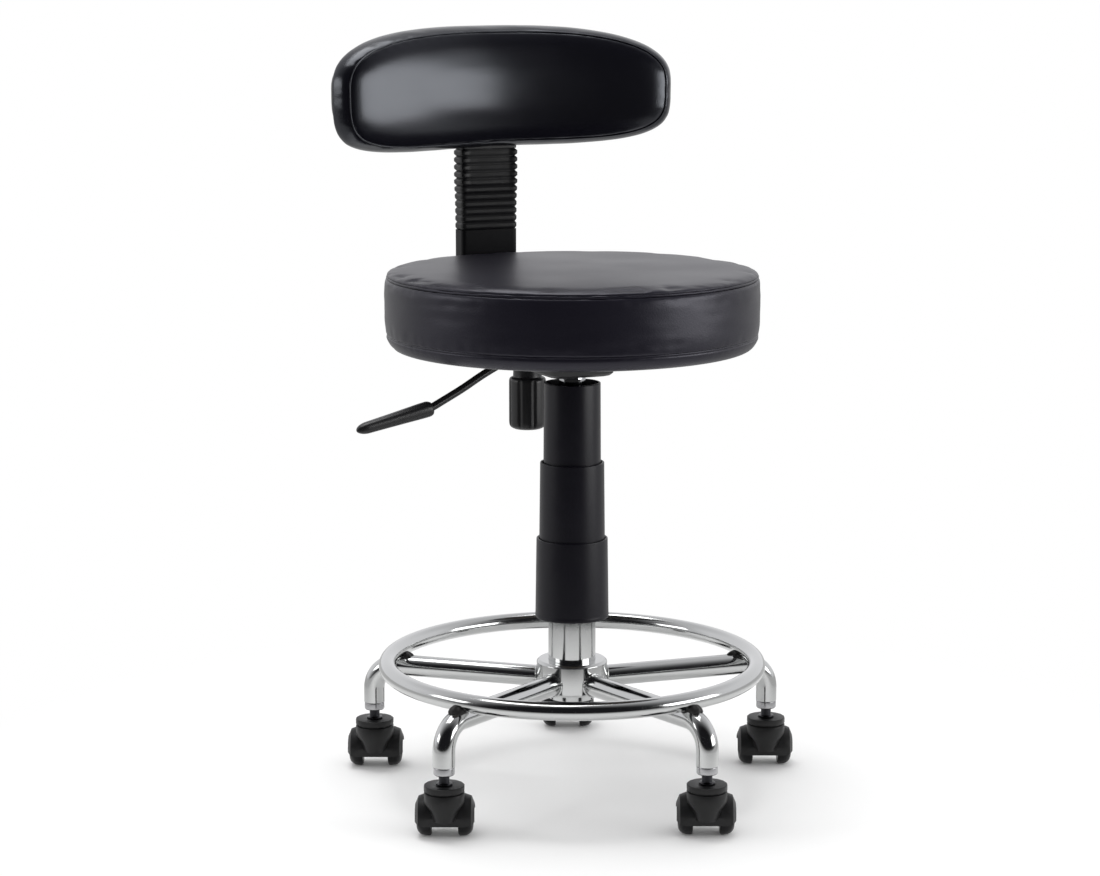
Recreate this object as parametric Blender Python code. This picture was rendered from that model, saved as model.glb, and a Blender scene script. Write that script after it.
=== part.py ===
"""Swivel stool with a backrest, a foot ring and five twin-wheel castors.

Metres, +Z up. The origin is on the floor, on the column's axis, and the backrest is on the +Y side.
Run it with: blender --background --python part.py
"""

import math

import bmesh
import bpy
from mathutils import Matrix, Vector

# Clearances shared by the whole stool
seat_gap = 0.0003
running_gap = 0.0004
cutter_overrun = 0.004

# Castors
wheel_radius = 0.020
wheel_width = 0.015
wheel_sides = 18
wheel_inner_gap = 0.0272
wheel_edge_rounding = 0.0015
wheel_dome_width = 0.0085
wheel_dome_depth = 0.0085
wheel_face_recess = 0.002
axle_radius = 0.003
castor_trail = 0.016
hood_wheel_gap = 0.001
hood_wall = 0.0019
hood_lip_wall = 0.0012
hood_web_width = 0.020
hood_front_angle = math.radians(-14)
hood_rear_angle = math.radians(158)
hood_side_cover = 0.0015
axle_boss_radius = 0.007
collar_radius = 0.0207
collar_groove_radius = 0.0187
collar_height = 0.0142
collar_groove_height = 0.0022
collar_cap_height = 0.0055
stem_radius = 0.0055
stem_flange_radius = 0.0085
stem_flange_height = 0.0016
stem_exposed = 0.0106
stem_engagement = 0.034
stem_depth = 0.014
small_round_sides = 8
collar_sides = 16

# Base
leg_count = 5
leg_radius = 0.0115
leg_wall = 0.0015
leg_sides = 12
leg_circle_radius = 0.2246
leg_bend_radius = 0.028
leg_foot_length = 0.0112
leg_socket_depth = 0.0175
socket_lip_radius = 0.0108
socket_lip_height = 0.008
base_turn = math.radians(65.75)
castor_turn = math.radians(64.5)
hub_radius = 0.0375
hub_height = 0.039
hub_edge_rounding = 0.0025
hub_sides = 30
ring_inset = 0.0290
ring_tube_radius = 0.0095
ring_steps = 45
ring_tube_sides = 10

# Gas lift column
tube_radius = 0.025
tube_wall = 0.0015
tube_length = 0.210
tube_below_hub = 0.003
tube_floor = 0.003
cylinder_radius = 0.014
cylinder_taper_radius = 0.013
cylinder_above_tube = 0.1495
cylinder_in_tube = 0.060
cylinder_bore_depth = 0.150
bush_length = 0.070
bush_lip_height = 0.002
rod_radius = 0.005
rod_groove_radius = 0.0038
rod_below_tube = 0.004
rod_in_cylinder = 0.012
clip_radius = 0.009
clip_thickness = 0.0012
button_radius = 0.0045
button_rise = 0.0037
button_depth = 0.006
round_sides = 24
hidden_sides = 16

# Telescopic cover
cover_wall = 0.002
cover_top_radius = 0.0297
cover_top_flare = 0.0008
cover_top_length = 0.100
cover_middle_radius = 0.0337
cover_middle_flare = 0.0013
cover_middle_length = 0.094
cover_bottom_radius = 0.0376
cover_bottom_flare = 0.0014
cover_bottom_length = 0.082
cover_overlap = 0.013
cover_lip_height = 0.003
cover_below_socket = 0.009

# Seat mechanism
socket_length = 0.012
socket_wall = 0.0045
housing_height = 0.0307
housing_half_width = 0.036
housing_front = 0.034
housing_back = 0.124
housing_draft = 0.004
housing_corner = 0.012
housing_wall = 0.0025
flange_width = 0.022
flange_thickness = 0.003
bridge_length = 0.016
bridge_thickness = 0.003
lever_radius = 0.004
lever_turn = math.radians(188.6)
lever_straight = 0.075
lever_reach = 0.173
lever_drop = 0.041
lever_sides = 10
grip_length = 0.088
grip_drop = 0.0155
grip_width = 0.017
grip_depth = 0.013
grip_tip_width = 0.013
grip_tip_depth = 0.010
grip_socket_depth = 0.016
knob_distance = 0.1125
knob_radius = 0.020
knob_height = 0.057
knob_neck_radius = 0.0155
knob_neck_height = 0.018
knob_flute_depth = 0.0013
knob_flutes = 8
stud_radius = 0.004

# Seat
cushion_radius = 0.1935
cushion_height = 0.0826
cushion_lower_seam = 0.015
cushion_upper_seam = 0.0742
cushion_under_radius = 0.1845
cushion_bulge = 0.0022
cushion_seam_groove = 0.0016
cushion_sides = 40
board_radius = 0.168
board_thickness = 0.011
board_edge = 0.0015

# Backrest bar and its covers
bar_width = 0.045
bar_thickness = 0.007
bar_front = 0.045
bar_above_centre = 0.0157
bar_bend_radius = 0.026
bar_behind_seat = 0.018
sleeve_width = 0.066
sleeve_depth = 0.022
sleeve_corner = 0.0035
sleeve_wall = 0.002
sleeve_front = 0.150
sleeve_share = 0.569
sleeve_lip = 0.003
bellows_width = 0.068
bellows_rib_depth = 0.0022
bellows_wall = 0.0016
bellows_ribs = 11

# Backrest pad
pad_centre_height = 0.7363
pad_half_length = 0.205
pad_half_height = 0.066
pad_bend_radius = 0.440
pad_upper_power_share = 2.65
pad_lower_power_share = 4.1
pad_end_share = 0.94
pad_side_depth = 0.017
pad_crown = 0.013
pad_back_wrap = 0.0012
pad_seam_groove = 0.0014
pad_points = 40
back_board_thickness = 0.008
back_board_inset = 0.010
bracket_wall = 0.003
bracket_height = 0.045
bracket_drop = 0.046
shell_inset = 0.013
shell_depth = 0.0232
shell_wall = 0.002
collar_depth = 0.022
collar_drop = 0.003


# Places worked out from the sizes above
wheel_axis_height = wheel_radius * math.cos(math.pi / wheel_sides)
hood_inner_radius = wheel_radius + hood_wheel_gap
hood_outer_radius = hood_inner_radius + hood_wall
hood_top = wheel_axis_height + hood_outer_radius
collar_top = hood_top + collar_height
leg_end = collar_top + stem_exposed + socket_lip_height
leg_axis_height = leg_end + leg_foot_length + leg_bend_radius
hub_bottom = leg_axis_height - hub_height / 2 + leg_radius / 2 + ring_tube_radius / 10
hub_top = hub_bottom + hub_height
ring_radius = leg_circle_radius - ring_inset
ring_height = leg_axis_height + leg_radius + seat_gap + ring_tube_radius
tube_bottom = hub_bottom - tube_below_hub
tube_top = tube_bottom + tube_length
cylinder_top = tube_top + cylinder_above_tube
cylinder_bottom = tube_top - cylinder_in_tube
housing_bottom = cylinder_top - socket_length
housing_top = housing_bottom + housing_height
button_top = cylinder_top + button_rise
lever_height = button_top + seat_gap + lever_radius
board_bottom = housing_top + seat_gap
cover_top_end = housing_bottom - cover_below_socket
cover_top_start = cover_top_end - cover_top_length
cover_middle_end = cover_top_start + cover_overlap
cover_middle_start = cover_middle_end - cover_middle_length
cover_bottom_end = cover_middle_start + cover_overlap
cover_bottom_start = cover_bottom_end - cover_bottom_length
bar_axis_height = housing_bottom + housing_wall + sleeve_depth / 2 - bar_thickness / 2 + bar_thickness / 10
bar_distance = cushion_radius + bar_behind_seat + sleeve_depth / 2
pad_bottom = pad_centre_height - pad_half_height
sleeve_top = bar_axis_height + sleeve_share * (pad_bottom - bar_axis_height)
bar_top = pad_centre_height + bar_above_centre
collar_bottom = pad_bottom - collar_drop
board_back = bar_distance - bar_thickness / 2 - 2 * seat_gap - bracket_wall
board_front = board_back - back_board_thickness
pad_bend_centre = board_front - pad_bend_radius


def clear_scene():
    """Remove whatever the scene holds, so that the script gives the same model each time."""
    for old in list(bpy.data.objects):
        bpy.data.objects.remove(old, do_unlink=True)


def plain_material(name, colour, roughness, metallic=0.0):
    """A Principled material of one colour."""
    material = bpy.data.materials.new(name)
    material.use_nodes = True
    shader = material.node_tree.nodes["Principled BSDF"]
    shader.inputs["Base Color"].default_value = (*colour, 1.0)
    shader.inputs["Roughness"].default_value = roughness
    shader.inputs["Metallic"].default_value = metallic
    material.diffuse_color = (*colour, 1.0)
    return material


def finish_mesh(name, bm, sharp=math.radians(40)):
    """Turn a bmesh into a mesh whose faces point out and are shaded smooth between sharp edges."""
    bmesh.ops.recalc_face_normals(bm, faces=bm.faces)
    if bm.calc_volume(signed=True) < 0:
        bmesh.ops.reverse_faces(bm, faces=bm.faces)
    mesh = bpy.data.meshes.new(name)
    bm.to_mesh(mesh)
    bm.free()
    mesh.shade_smooth()
    mesh.set_sharp_from_angle(angle=sharp)
    return mesh


def place(name, mesh, material, at=(0, 0, 0), turn=0.0, parent=None):
    """Put a mesh into the scene as a named object, turned about Z."""
    piece = bpy.data.objects.new(name, mesh)
    piece.data.materials.clear()
    piece.data.materials.append(material)
    piece.location = at
    piece.rotation_euler = (0, 0, turn)
    piece.parent = parent
    bpy.context.scene.collection.objects.link(piece)
    return piece


def axis_empty(name, at, turn=0.0, parent=None):
    """An empty on a joint's axis, to carry the pieces that turn about it."""
    empty = bpy.data.objects.new(name, None)
    empty.parent = parent
    empty.location = at
    empty.rotation_euler = (0, 0, turn)
    bpy.context.scene.collection.objects.link(empty)
    return empty


def joined(name, base, cutter_mesh, operation):
    """The mesh of a Boolean of two meshes, worked out with the exact solver."""
    first = bpy.data.objects.new(name + "_base", base)
    second = bpy.data.objects.new(name + "_tool", cutter_mesh)
    for helper in (first, second):
        bpy.context.scene.collection.objects.link(helper)
    modifier = first.modifiers.new("boolean", "BOOLEAN")
    modifier.operation = operation
    modifier.solver = "EXACT"
    modifier.object = second
    graph = bpy.context.evaluated_depsgraph_get()
    result = bpy.data.meshes.new_from_object(first.evaluated_get(graph))
    result.name = name
    for helper in (first, second):
        bpy.data.objects.remove(helper, do_unlink=True)
    result.shade_smooth()
    result.set_sharp_from_angle(angle=math.radians(40))
    return result


def bridge_rings(bm, rings, closed_ends=(True, True), loop=False):
    """Faces between neighbouring rings of vertices; a ring of one vertex is a pole."""
    count = max(len(ring) for ring in rings)
    pairs = list(zip(rings, rings[1:]))
    if loop:
        pairs.append((rings[-1], rings[0]))
    for low, high in pairs:
        for i in range(count):
            j = (i + 1) % count
            corners = [low[i % len(low)], low[j % len(low)], high[j % len(high)], high[i % len(high)]]
            unique = list(dict.fromkeys(corners))
            bm.faces.new(unique)
    if not loop:
        for ring, shut in zip((rings[0], rings[-1]), closed_ends):
            if shut and len(ring) > 2:
                bm.faces.new(ring)


def turned(name, profile, sides, loop=False, axis="Z", phase_share=0.0):
    """A turned body: (radius, height) points revolved about an axis. A loop is a ring with a bore."""
    bm = bmesh.new()
    rings = []
    for radius, height in profile:
        if radius == 0:
            rings.append([bm.verts.new((0, 0, height))])
            continue
        ring = []
        for i in range(sides):
            angle = math.tau * (i + phase_share) / sides
            ring.append(bm.verts.new((radius * math.cos(angle), radius * math.sin(angle), height)))
        rings.append(ring)
    bridge_rings(bm, rings, loop=loop)
    if axis == "X":
        turn = Matrix.Rotation(math.pi / 2, 4, "Y")
        bmesh.ops.transform(bm, matrix=turn, verts=bm.verts)
    return finish_mesh(name, bm)


def box_mesh(name, low, high):
    """A plain box between two corners, used as a cutter or as part of a joined body."""
    bm = bmesh.new()
    bmesh.ops.create_cube(bm, size=1)
    size = Vector(high) - Vector(low)
    middle = (Vector(high) + Vector(low)) / 2
    bmesh.ops.scale(bm, vec=size, verts=bm.verts)
    bmesh.ops.translate(bm, vec=middle, verts=bm.verts)
    return finish_mesh(name, bm)


def prism_across(name, side_points, half_width):
    """A side outline of (y, z) points carried across from -X to +X."""
    bm = bmesh.new()
    rings = []
    for x in (-half_width, half_width):
        rings.append([bm.verts.new((x, y, z)) for y, z in side_points])
    bridge_rings(bm, rings)
    return finish_mesh(name, bm)


def rounded_rectangle(half_x, half_y, corner, corner_steps=3):
    """Points round a rectangle with rounded corners, anticlockwise from the +X side."""
    points = []
    for quarter in range(4):
        sign_x = (1, -1, -1, 1)[quarter]
        sign_y = (1, 1, -1, -1)[quarter]
        centre = (sign_x * (half_x - corner), sign_y * (half_y - corner))
        for step in range(corner_steps + 1):
            angle = math.pi / 2 * (quarter + step / corner_steps)
            points.append((centre[0] + corner * math.cos(angle), centre[1] + corner * math.sin(angle)))
    return points


clear_scene()

chrome = plain_material("chrome_steel", (0.78, 0.79, 0.80), 0.16, 1.0)
dark_steel = plain_material("dark_steel", (0.05, 0.05, 0.055), 0.4, 0.6)
zinc = plain_material("zinc_steel", (0.55, 0.56, 0.58), 0.35, 1.0)
black_plastic = plain_material("black_plastic", (0.018, 0.018, 0.020), 0.45)
cover_plastic = plain_material("cover_plastic", (0.022, 0.022, 0.025), 0.38)
wheel_nylon = plain_material("wheel_nylon", (0.015, 0.015, 0.016), 0.5)
plywood = plain_material("plywood", (0.52, 0.36, 0.20), 0.6)
leatherette = plain_material("leatherette", (0.020, 0.020, 0.026), 0.32)


# Wheels: nylon discs whose outer side is domed from the tread to a flat, slightly sunk face
def dome_line():
    """Points of a wheel's outer rounding as (distance in from the outer face, drop below the tread)."""
    points = []
    for step in range(3):
        angle = math.pi / 2 * step / 2
        points.append((wheel_dome_width * (1 - math.sin(angle)), wheel_dome_depth * (1 - math.cos(angle))))
    return points


def wheel_mesh(name, outward):
    """One wheel about its own X axis; its domed face looks along outward times +X."""
    half = wheel_width / 2
    bore = axle_radius + running_gap
    face = half - wheel_face_recess
    profile = [(bore, -half), (wheel_radius - wheel_edge_rounding, -half), (wheel_radius, -half + wheel_edge_rounding)]
    profile += [(wheel_radius - drop, half - inset) for inset, drop in dome_line()]
    profile += [(wheel_radius - wheel_dome_depth - wheel_face_recess, face), (bore, face)]
    return turned(name, [(radius, outward * along) for radius, along in profile], wheel_sides, loop=True, axis="X",
                  phase_share=0.5)


# Castor hood: a shell over both wheels, revolved about the axle, on a central web
def hood_profile():
    """The hood's section across the castor as (sideways place, radius from the axle) points."""
    face = wheel_inner_gap / 2 + wheel_width
    web = hood_web_width / 2
    dome = dome_line()
    outer = [(collar_radius * 0.60, hood_outer_radius)]
    inner = [(web, hood_inner_radius)]
    for inset, drop in dome[:-1]:
        spread = hood_wall * (1 - inset / wheel_dome_width)
        outer.append((face - inset + spread / 2, hood_outer_radius - drop))
        inner.append((face - inset + spread / 4, hood_inner_radius - drop))
    last_drop = dome[-1][1]
    outer.append((face + hood_side_cover, hood_inner_radius - last_drop))
    inner.append((face + hood_side_cover - hood_lip_wall, hood_inner_radius - last_drop))
    return web, outer, inner


def hood_mesh():
    """Shell, web, boss and collar joined into one moulding, with a bore for the stem and for the axle."""
    web, outer_right, inner_right = hood_profile()
    outer = [(-x, radius) for x, radius in reversed(outer_right)] + outer_right
    inner_right = list(reversed(inner_right))
    bore = axle_radius + seat_gap
    foot = [(web, bore * 1.6), (-web, bore * 1.6)]
    inner_left = [(-x, radius) for x, radius in reversed(inner_right)]
    section = outer + inner_right + foot + inner_left
    steps = 8
    bm = bmesh.new()
    rings = []
    for step in range(steps + 1):
        angle = hood_front_angle + (hood_rear_angle - hood_front_angle) * step / steps
        ring = []
        for across, radius in section:
            place_y = -radius * math.cos(angle)
            place_z = radius * math.sin(angle)
            ring.append(bm.verts.new((across, castor_trail + place_y, wheel_axis_height + place_z)))
        rings.append(ring)
    bridge_rings(bm, rings)
    shell = finish_mesh("hood_shell", bm)
    groove_low = collar_top - collar_cap_height - collar_groove_height
    drop = wheel_dome_depth
    levels = [
        (hood_top - 2.6 * drop, collar_radius * 0.52, -drop * 0.55),
        (hood_top - 1.3 * drop, collar_radius * 0.72, -drop * 0.35),
        (hood_top - 0.5 * drop, collar_radius * 0.97, -drop * 0.07),
        (hood_top + hood_wall / 4, collar_radius, 0),
        (groove_low, collar_radius, 0),
        (groove_low + collar_groove_height / 4, collar_groove_radius, 0),
        (groove_low + collar_groove_height, collar_groove_radius, 0),
        (groove_low + collar_groove_height, collar_radius, 0),
        (collar_top - hood_wall / 3, collar_radius, 0),
        (collar_top, collar_radius - hood_wall / 3, 0),
    ]
    bm = bmesh.new()
    rings = []
    for height, radius, shift in levels:
        ring = []
        for i in range(collar_sides):
            angle = math.tau * (i + 0.5) / collar_sides
            ring.append(bm.verts.new((radius * math.cos(angle), shift + radius * math.sin(angle), height)))
        rings.append(ring)
    bridge_rings(bm, rings)
    collar = finish_mesh("hood_collar", bm)
    shell = joined("hood_with_collar", shell, collar, "UNION")
    room = wheel_radius + hood_wheel_gap * 0.3
    room_start = wheel_inner_gap / 2 - hood_wheel_gap * 0.3
    room_end = collar_radius + hood_wheel_gap * 0.3
    for side in (1, -1):
        wheel_room = turned(
            "wheel_room",
            [(0, side * room_start), (room, side * room_start), (room, side * room_end), (0, side * room_end)],
            round_sides,
            axis="X",
        )
        wheel_room.transform(Matrix.Translation((0, castor_trail, wheel_axis_height)))
        shell = joined(f"hood_with_room_{side}", shell, wheel_room, "DIFFERENCE")
    boss_half = wheel_inner_gap / 2 - running_gap
    boss = turned(
        "hood_boss",
        [(0, -boss_half), (axle_boss_radius, -boss_half), (axle_boss_radius, boss_half), (0, boss_half)],
        8,
        axis="X",
        phase_share=0.25,
    )
    boss.transform(Matrix.Translation((0, castor_trail, wheel_axis_height)))
    shell = joined("hood_with_boss", shell, boss, "UNION")
    stem_hole = turned(
        "stem_hole",
        [
            (0, collar_top - stem_depth - seat_gap),
            (stem_radius + seat_gap, collar_top - stem_depth - seat_gap),
            (stem_radius + seat_gap, collar_top + cutter_overrun),
            (0, collar_top + cutter_overrun),
        ],
        small_round_sides,
    )
    shell = joined("hood_with_stem_hole", shell, stem_hole, "DIFFERENCE")
    axle_hole = turned(
        "axle_hole",
        [
            (0, -web - cutter_overrun * 2),
            (bore, -web - cutter_overrun * 2),
            (bore, web + cutter_overrun * 2),
            (0, web + cutter_overrun * 2),
        ],
        small_round_sides,
        axis="X",
    )
    axle_hole.transform(Matrix.Translation((0, castor_trail, wheel_axis_height)))
    return joined("castor_hood", shell, axle_hole, "DIFFERENCE")


def stem_mesh():
    """The plated pin that stands in the collar and turns in the leg's socket."""
    low = collar_top - stem_depth
    flange = collar_top + seat_gap
    return turned(
        "castor_stem",
        [
            (0, low),
            (stem_radius, low),
            (stem_radius, flange),
            (stem_flange_radius, flange),
            (stem_flange_radius, flange + stem_flange_height),
            (stem_radius, flange + stem_flange_height),
            (stem_radius, collar_top + stem_engagement - stem_radius / 3),
            (stem_radius * 2 / 3, collar_top + stem_engagement),
            (0, collar_top + stem_engagement),
        ],
        small_round_sides,
    )


def axle_mesh():
    """The axle through the web and both wheels, about its own X axis."""
    half = wheel_inner_gap / 2 + wheel_width - wheel_face_recess
    return turned("castor_axle", [(0, -half), (axle_radius, -half), (axle_radius, half), (0, half)],
                  small_round_sides, axis="X")


castor_heading = castor_turn - math.pi / 2
shared_hood = hood_mesh()
shared_stem = stem_mesh()
shared_axle = axle_mesh()
shared_wheel_right = wheel_mesh("wheel_right", 1)
shared_wheel_left = wheel_mesh("wheel_left", -1)
wheel_offset = wheel_inner_gap / 2 + wheel_width / 2
for number in range(1, leg_count + 1):
    leg_angle = base_turn + math.tau * (number - 1) / leg_count
    pivot = axis_empty(
        f"castor_{number}_swivel",
        (leg_circle_radius * math.cos(leg_angle), leg_circle_radius * math.sin(leg_angle), 0),
        castor_heading,
    )
    place(f"castor_hood_{number}", shared_hood, black_plastic, parent=pivot)
    place(f"castor_stem_{number}", shared_stem, zinc, parent=pivot)
    place(f"castor_axle_{number}", shared_axle, zinc, at=(0, castor_trail, wheel_axis_height), parent=pivot)
    place(f"castor_wheel_right_{number}", shared_wheel_right, wheel_nylon,
          at=(wheel_offset, castor_trail, wheel_axis_height), parent=pivot)
    place(f"castor_wheel_left_{number}", shared_wheel_left, wheel_nylon,
          at=(-wheel_offset, castor_trail, wheel_axis_height), parent=pivot)


# Legs: bent tubes, coped to the hub, open at the foot for the castor's socket
def leg_mesh():
    """A leg along +X: straight out from the hub, bent down, with the socket's bore in its foot."""
    bm = bmesh.new()
    rings = []
    cope_radius = hub_radius + seat_gap
    bore_radius = leg_radius - leg_wall

    def ring_at(centre, direction_angle, radius):
        """A ring square to the path; direction_angle 0 runs along +X and a quarter turn runs down."""
        ring = []
        for i in range(leg_sides):
            angle = math.tau * i / leg_sides
            across = radius * math.sin(angle)
            upward = radius * math.cos(angle)
            along_x = upward * math.sin(direction_angle)
            along_z = upward * math.cos(direction_angle)
            ring.append(bm.verts.new((centre[0] + along_x, across, centre[1] + along_z)))
        return ring

    start = ring_at((0, leg_axis_height), 0, leg_radius)
    for vert in start:
        vert.co.x = math.sqrt(cope_radius**2 - vert.co.y**2)
    rings.append(start)
    bend_start = leg_circle_radius - leg_bend_radius
    bend_steps = 5
    for step in range(bend_steps + 1):
        angle = math.pi / 2 * step / bend_steps
        centre = (
            bend_start + leg_bend_radius * math.sin(angle),
            leg_axis_height - leg_bend_radius * (1 - math.cos(angle)),
        )
        rings.append(ring_at(centre, angle, leg_radius))
    rings.append(ring_at((leg_circle_radius, leg_end), math.pi / 2, leg_radius))
    rings.append(ring_at((leg_circle_radius, leg_end), math.pi / 2, bore_radius))
    rings.append(ring_at((leg_circle_radius, leg_end + leg_socket_depth), math.pi / 2, bore_radius))
    bridge_rings(bm, rings, closed_ends=(False, True))
    half = leg_sides // 2
    for i in range(-half // 2, half // 2):
        corners = [start[i], start[i + 1], start[half - i - 1], start[(half - i) % leg_sides]]
        bm.faces.new(list(dict.fromkeys(corners)))
    return finish_mesh("leg", bm)


def socket_mesh():
    """The sleeve pressed into a leg's foot, in which the castor's stem turns."""
    outer = leg_radius - leg_wall - 2 * seat_gap
    bore = stem_radius + running_gap
    depth = leg_socket_depth - leg_wall
    return turned(
        "castor_socket",
        [
            (bore, leg_end - socket_lip_height),
            (socket_lip_radius - leg_wall / 3, leg_end - socket_lip_height),
            (socket_lip_radius, leg_end - socket_lip_height + leg_wall / 3),
            (socket_lip_radius, leg_end - seat_gap),
            (outer, leg_end - seat_gap),
            (outer, leg_end + depth),
            (bore, leg_end + depth),
        ],
        leg_sides,
        loop=True,
    )


shared_leg = leg_mesh()
shared_socket = socket_mesh()
for number in range(1, leg_count + 1):
    leg_angle = base_turn + math.tau * (number - 1) / leg_count
    place(f"leg_{number}", shared_leg, chrome, turn=leg_angle)
    place(
        f"castor_socket_{number}",
        shared_socket,
        zinc,
        at=(leg_circle_radius * math.cos(leg_angle), leg_circle_radius * math.sin(leg_angle), 0),
    )


# Foot ring: one bent tube that rests on the five legs
def ring_mesh():
    """A torus whose lowest line lies just above the legs."""
    bm = bmesh.new()
    rings = []
    for step in range(ring_steps):
        angle = math.tau * step / ring_steps
        ring = []
        for i in range(ring_tube_sides):
            tube_angle = math.tau * i / ring_tube_sides
            radius = ring_radius + ring_tube_radius * math.sin(tube_angle)
            height = ring_height + ring_tube_radius * math.cos(tube_angle)
            ring.append(bm.verts.new((radius * math.cos(angle), radius * math.sin(angle), height)))
        rings.append(ring)
    bridge_rings(bm, rings, loop=True)
    return finish_mesh("foot_ring", bm)


place("foot_ring", ring_mesh(), chrome, turn=base_turn)

# Hub: a thick collar round the column's tube
hub_bore = tube_radius + seat_gap
place(
    "hub",
    turned(
        "hub",
        [
            (hub_bore, hub_bottom),
            (hub_radius - hub_edge_rounding, hub_bottom),
            (hub_radius, hub_bottom + hub_edge_rounding),
            (hub_radius, hub_top - hub_edge_rounding),
            (hub_radius - hub_edge_rounding, hub_top),
            (hub_bore, hub_top),
        ],
        hub_sides,
        loop=True,
    ),
    chrome,
)

# Gas lift: the outer tube, its guide bush, the rod held by a clip, and the cylinder that slides
tube_bore = tube_radius - tube_wall
rod_hole = rod_radius + seat_gap
place(
    "outer_tube",
    turned(
        "outer_tube",
        [
            (rod_hole, tube_bottom),
            (tube_radius - tube_wall, tube_bottom),
            (tube_radius, tube_bottom + tube_wall),
            (tube_radius, tube_top),
            (tube_bore, tube_top),
            (tube_bore, tube_bottom + tube_floor),
            (rod_hole, tube_bottom + tube_floor),
        ],
        round_sides,
        loop=True,
    ),
    chrome,
)
bush_bore = cylinder_radius + running_gap
bush_lip_radius = tube_radius - tube_wall / 2
place(
    "guide_bush",
    turned(
        "guide_bush",
        [
            (bush_bore, tube_top - bush_length),
            (tube_bore - seat_gap, tube_top - bush_length),
            (tube_bore - seat_gap, tube_top + seat_gap),
            (bush_lip_radius, tube_top + seat_gap),
            (bush_lip_radius, tube_top + bush_lip_height),
            (bush_bore, tube_top + bush_lip_height),
        ],
        hidden_sides,
        loop=True,
    ),
    black_plastic,
)
rod_bottom = tube_bottom - rod_below_tube
groove_top = tube_bottom - seat_gap
groove_bottom = groove_top - clip_thickness - 2 * seat_gap
rod_top = cylinder_bottom + rod_in_cylinder
place(
    "piston_rod",
    turned(
        "piston_rod",
        [
            (0, rod_bottom),
            (rod_radius, rod_bottom),
            (rod_radius, groove_bottom),
            (rod_groove_radius, groove_bottom),
            (rod_groove_radius, groove_top),
            (rod_radius, groove_top),
            (rod_radius, rod_top),
            (0, rod_top),
        ],
        small_round_sides,
    ),
    zinc,
)
clip_bore = rod_groove_radius + seat_gap
place(
    "retaining_clip",
    turned(
        "retaining_clip",
        [
            (clip_bore, groove_bottom + seat_gap),
            (clip_radius, groove_bottom + seat_gap),
            (clip_radius, groove_bottom + seat_gap + clip_thickness),
            (clip_bore, groove_bottom + seat_gap + clip_thickness),
        ],
        small_round_sides,
        loop=True,
    ),
    zinc,
)
cylinder_bore = rod_radius + running_gap
button_bore = button_radius + running_gap
lift_axis = axis_empty("lift_axis", (0, 0, cylinder_top))
place(
    "gas_cylinder",
    turned(
        "gas_cylinder",
        [
            (0, cylinder_bottom + cylinder_bore_depth - cylinder_top),
            (cylinder_bore, cylinder_bottom + cylinder_bore_depth - cylinder_top),
            (cylinder_bore, cylinder_bottom - cylinder_top),
            (cylinder_radius, cylinder_bottom - cylinder_top),
            (cylinder_radius, -socket_length - cover_below_socket / 4),
            (cylinder_taper_radius, 0),
            (button_bore, 0),
            (button_bore, -button_depth - button_rise - seat_gap),
            (0, -button_depth - button_rise - seat_gap),
        ],
        round_sides,
    ),
    chrome,
    parent=lift_axis,
)
place(
    "release_button",
    turned(
        "release_button",
        [
            (0, -button_depth),
            (button_radius, -button_depth),
            (button_radius, button_rise - button_radius / 6),
            (button_radius - button_radius / 6, button_rise),
            (0, button_rise),
        ],
        small_round_sides,
    ),
    zinc,
    parent=lift_axis,
)


# Telescopic cover: three thin tapered tubes that hang on one another
def cover_mesh(name, start, end, top_radius, flare, top_bore):
    """A tapered tube, wider at the bottom, with an inward lip at its top."""
    low_radius = top_radius + flare
    rim = cover_wall / 2
    return turned(
        name,
        [
            (low_radius - cover_wall, start),
            (low_radius, start),
            (top_radius, end - rim),
            (top_radius - rim, end),
            (top_bore, end),
            (top_bore, end - cover_lip_height),
            (top_radius - cover_wall, end - cover_lip_height),
        ],
        round_sides,
        loop=True,
    )


def cover_radius_at(height, start, end, top_radius, flare):
    """The outer radius of a tapered cover at a height."""
    return top_radius + flare * (end - height) / (end - start)


place(
    "cover_top",
    cover_mesh("cover_top", cover_top_start, cover_top_end, cover_top_radius, cover_top_flare,
               cylinder_radius + seat_gap),
    cover_plastic,
)
top_cover_there = cover_radius_at(
    cover_middle_end - cover_lip_height, cover_top_start, cover_top_end, cover_top_radius, cover_top_flare
)
place(
    "cover_middle",
    cover_mesh("cover_middle", cover_middle_start, cover_middle_end, cover_middle_radius, cover_middle_flare,
               top_cover_there + running_gap),
    cover_plastic,
)
middle_cover_there = cover_radius_at(
    cover_bottom_end - cover_lip_height, cover_middle_start, cover_middle_end, cover_middle_radius, cover_middle_flare
)
place(
    "cover_bottom",
    cover_mesh("cover_bottom", cover_bottom_start, cover_bottom_end, cover_bottom_radius, cover_bottom_flare,
               middle_cover_there + running_gap),
    cover_plastic,
)


# Seat mechanism: a pressed pan with a flange, a taper socket and a channel for the backrest bar
def pan_ring(bm, half_width, front, back, corner, height):
    """One ring of the pan's outline, in the mechanism's own frame."""
    half_length = (front + back) / 2
    middle = (back - front) / 2
    ring = []
    for x, y in rounded_rectangle(half_width, half_length, corner, corner_steps=2):
        ring.append(bm.verts.new((x, y + middle, height)))
    return ring


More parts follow.
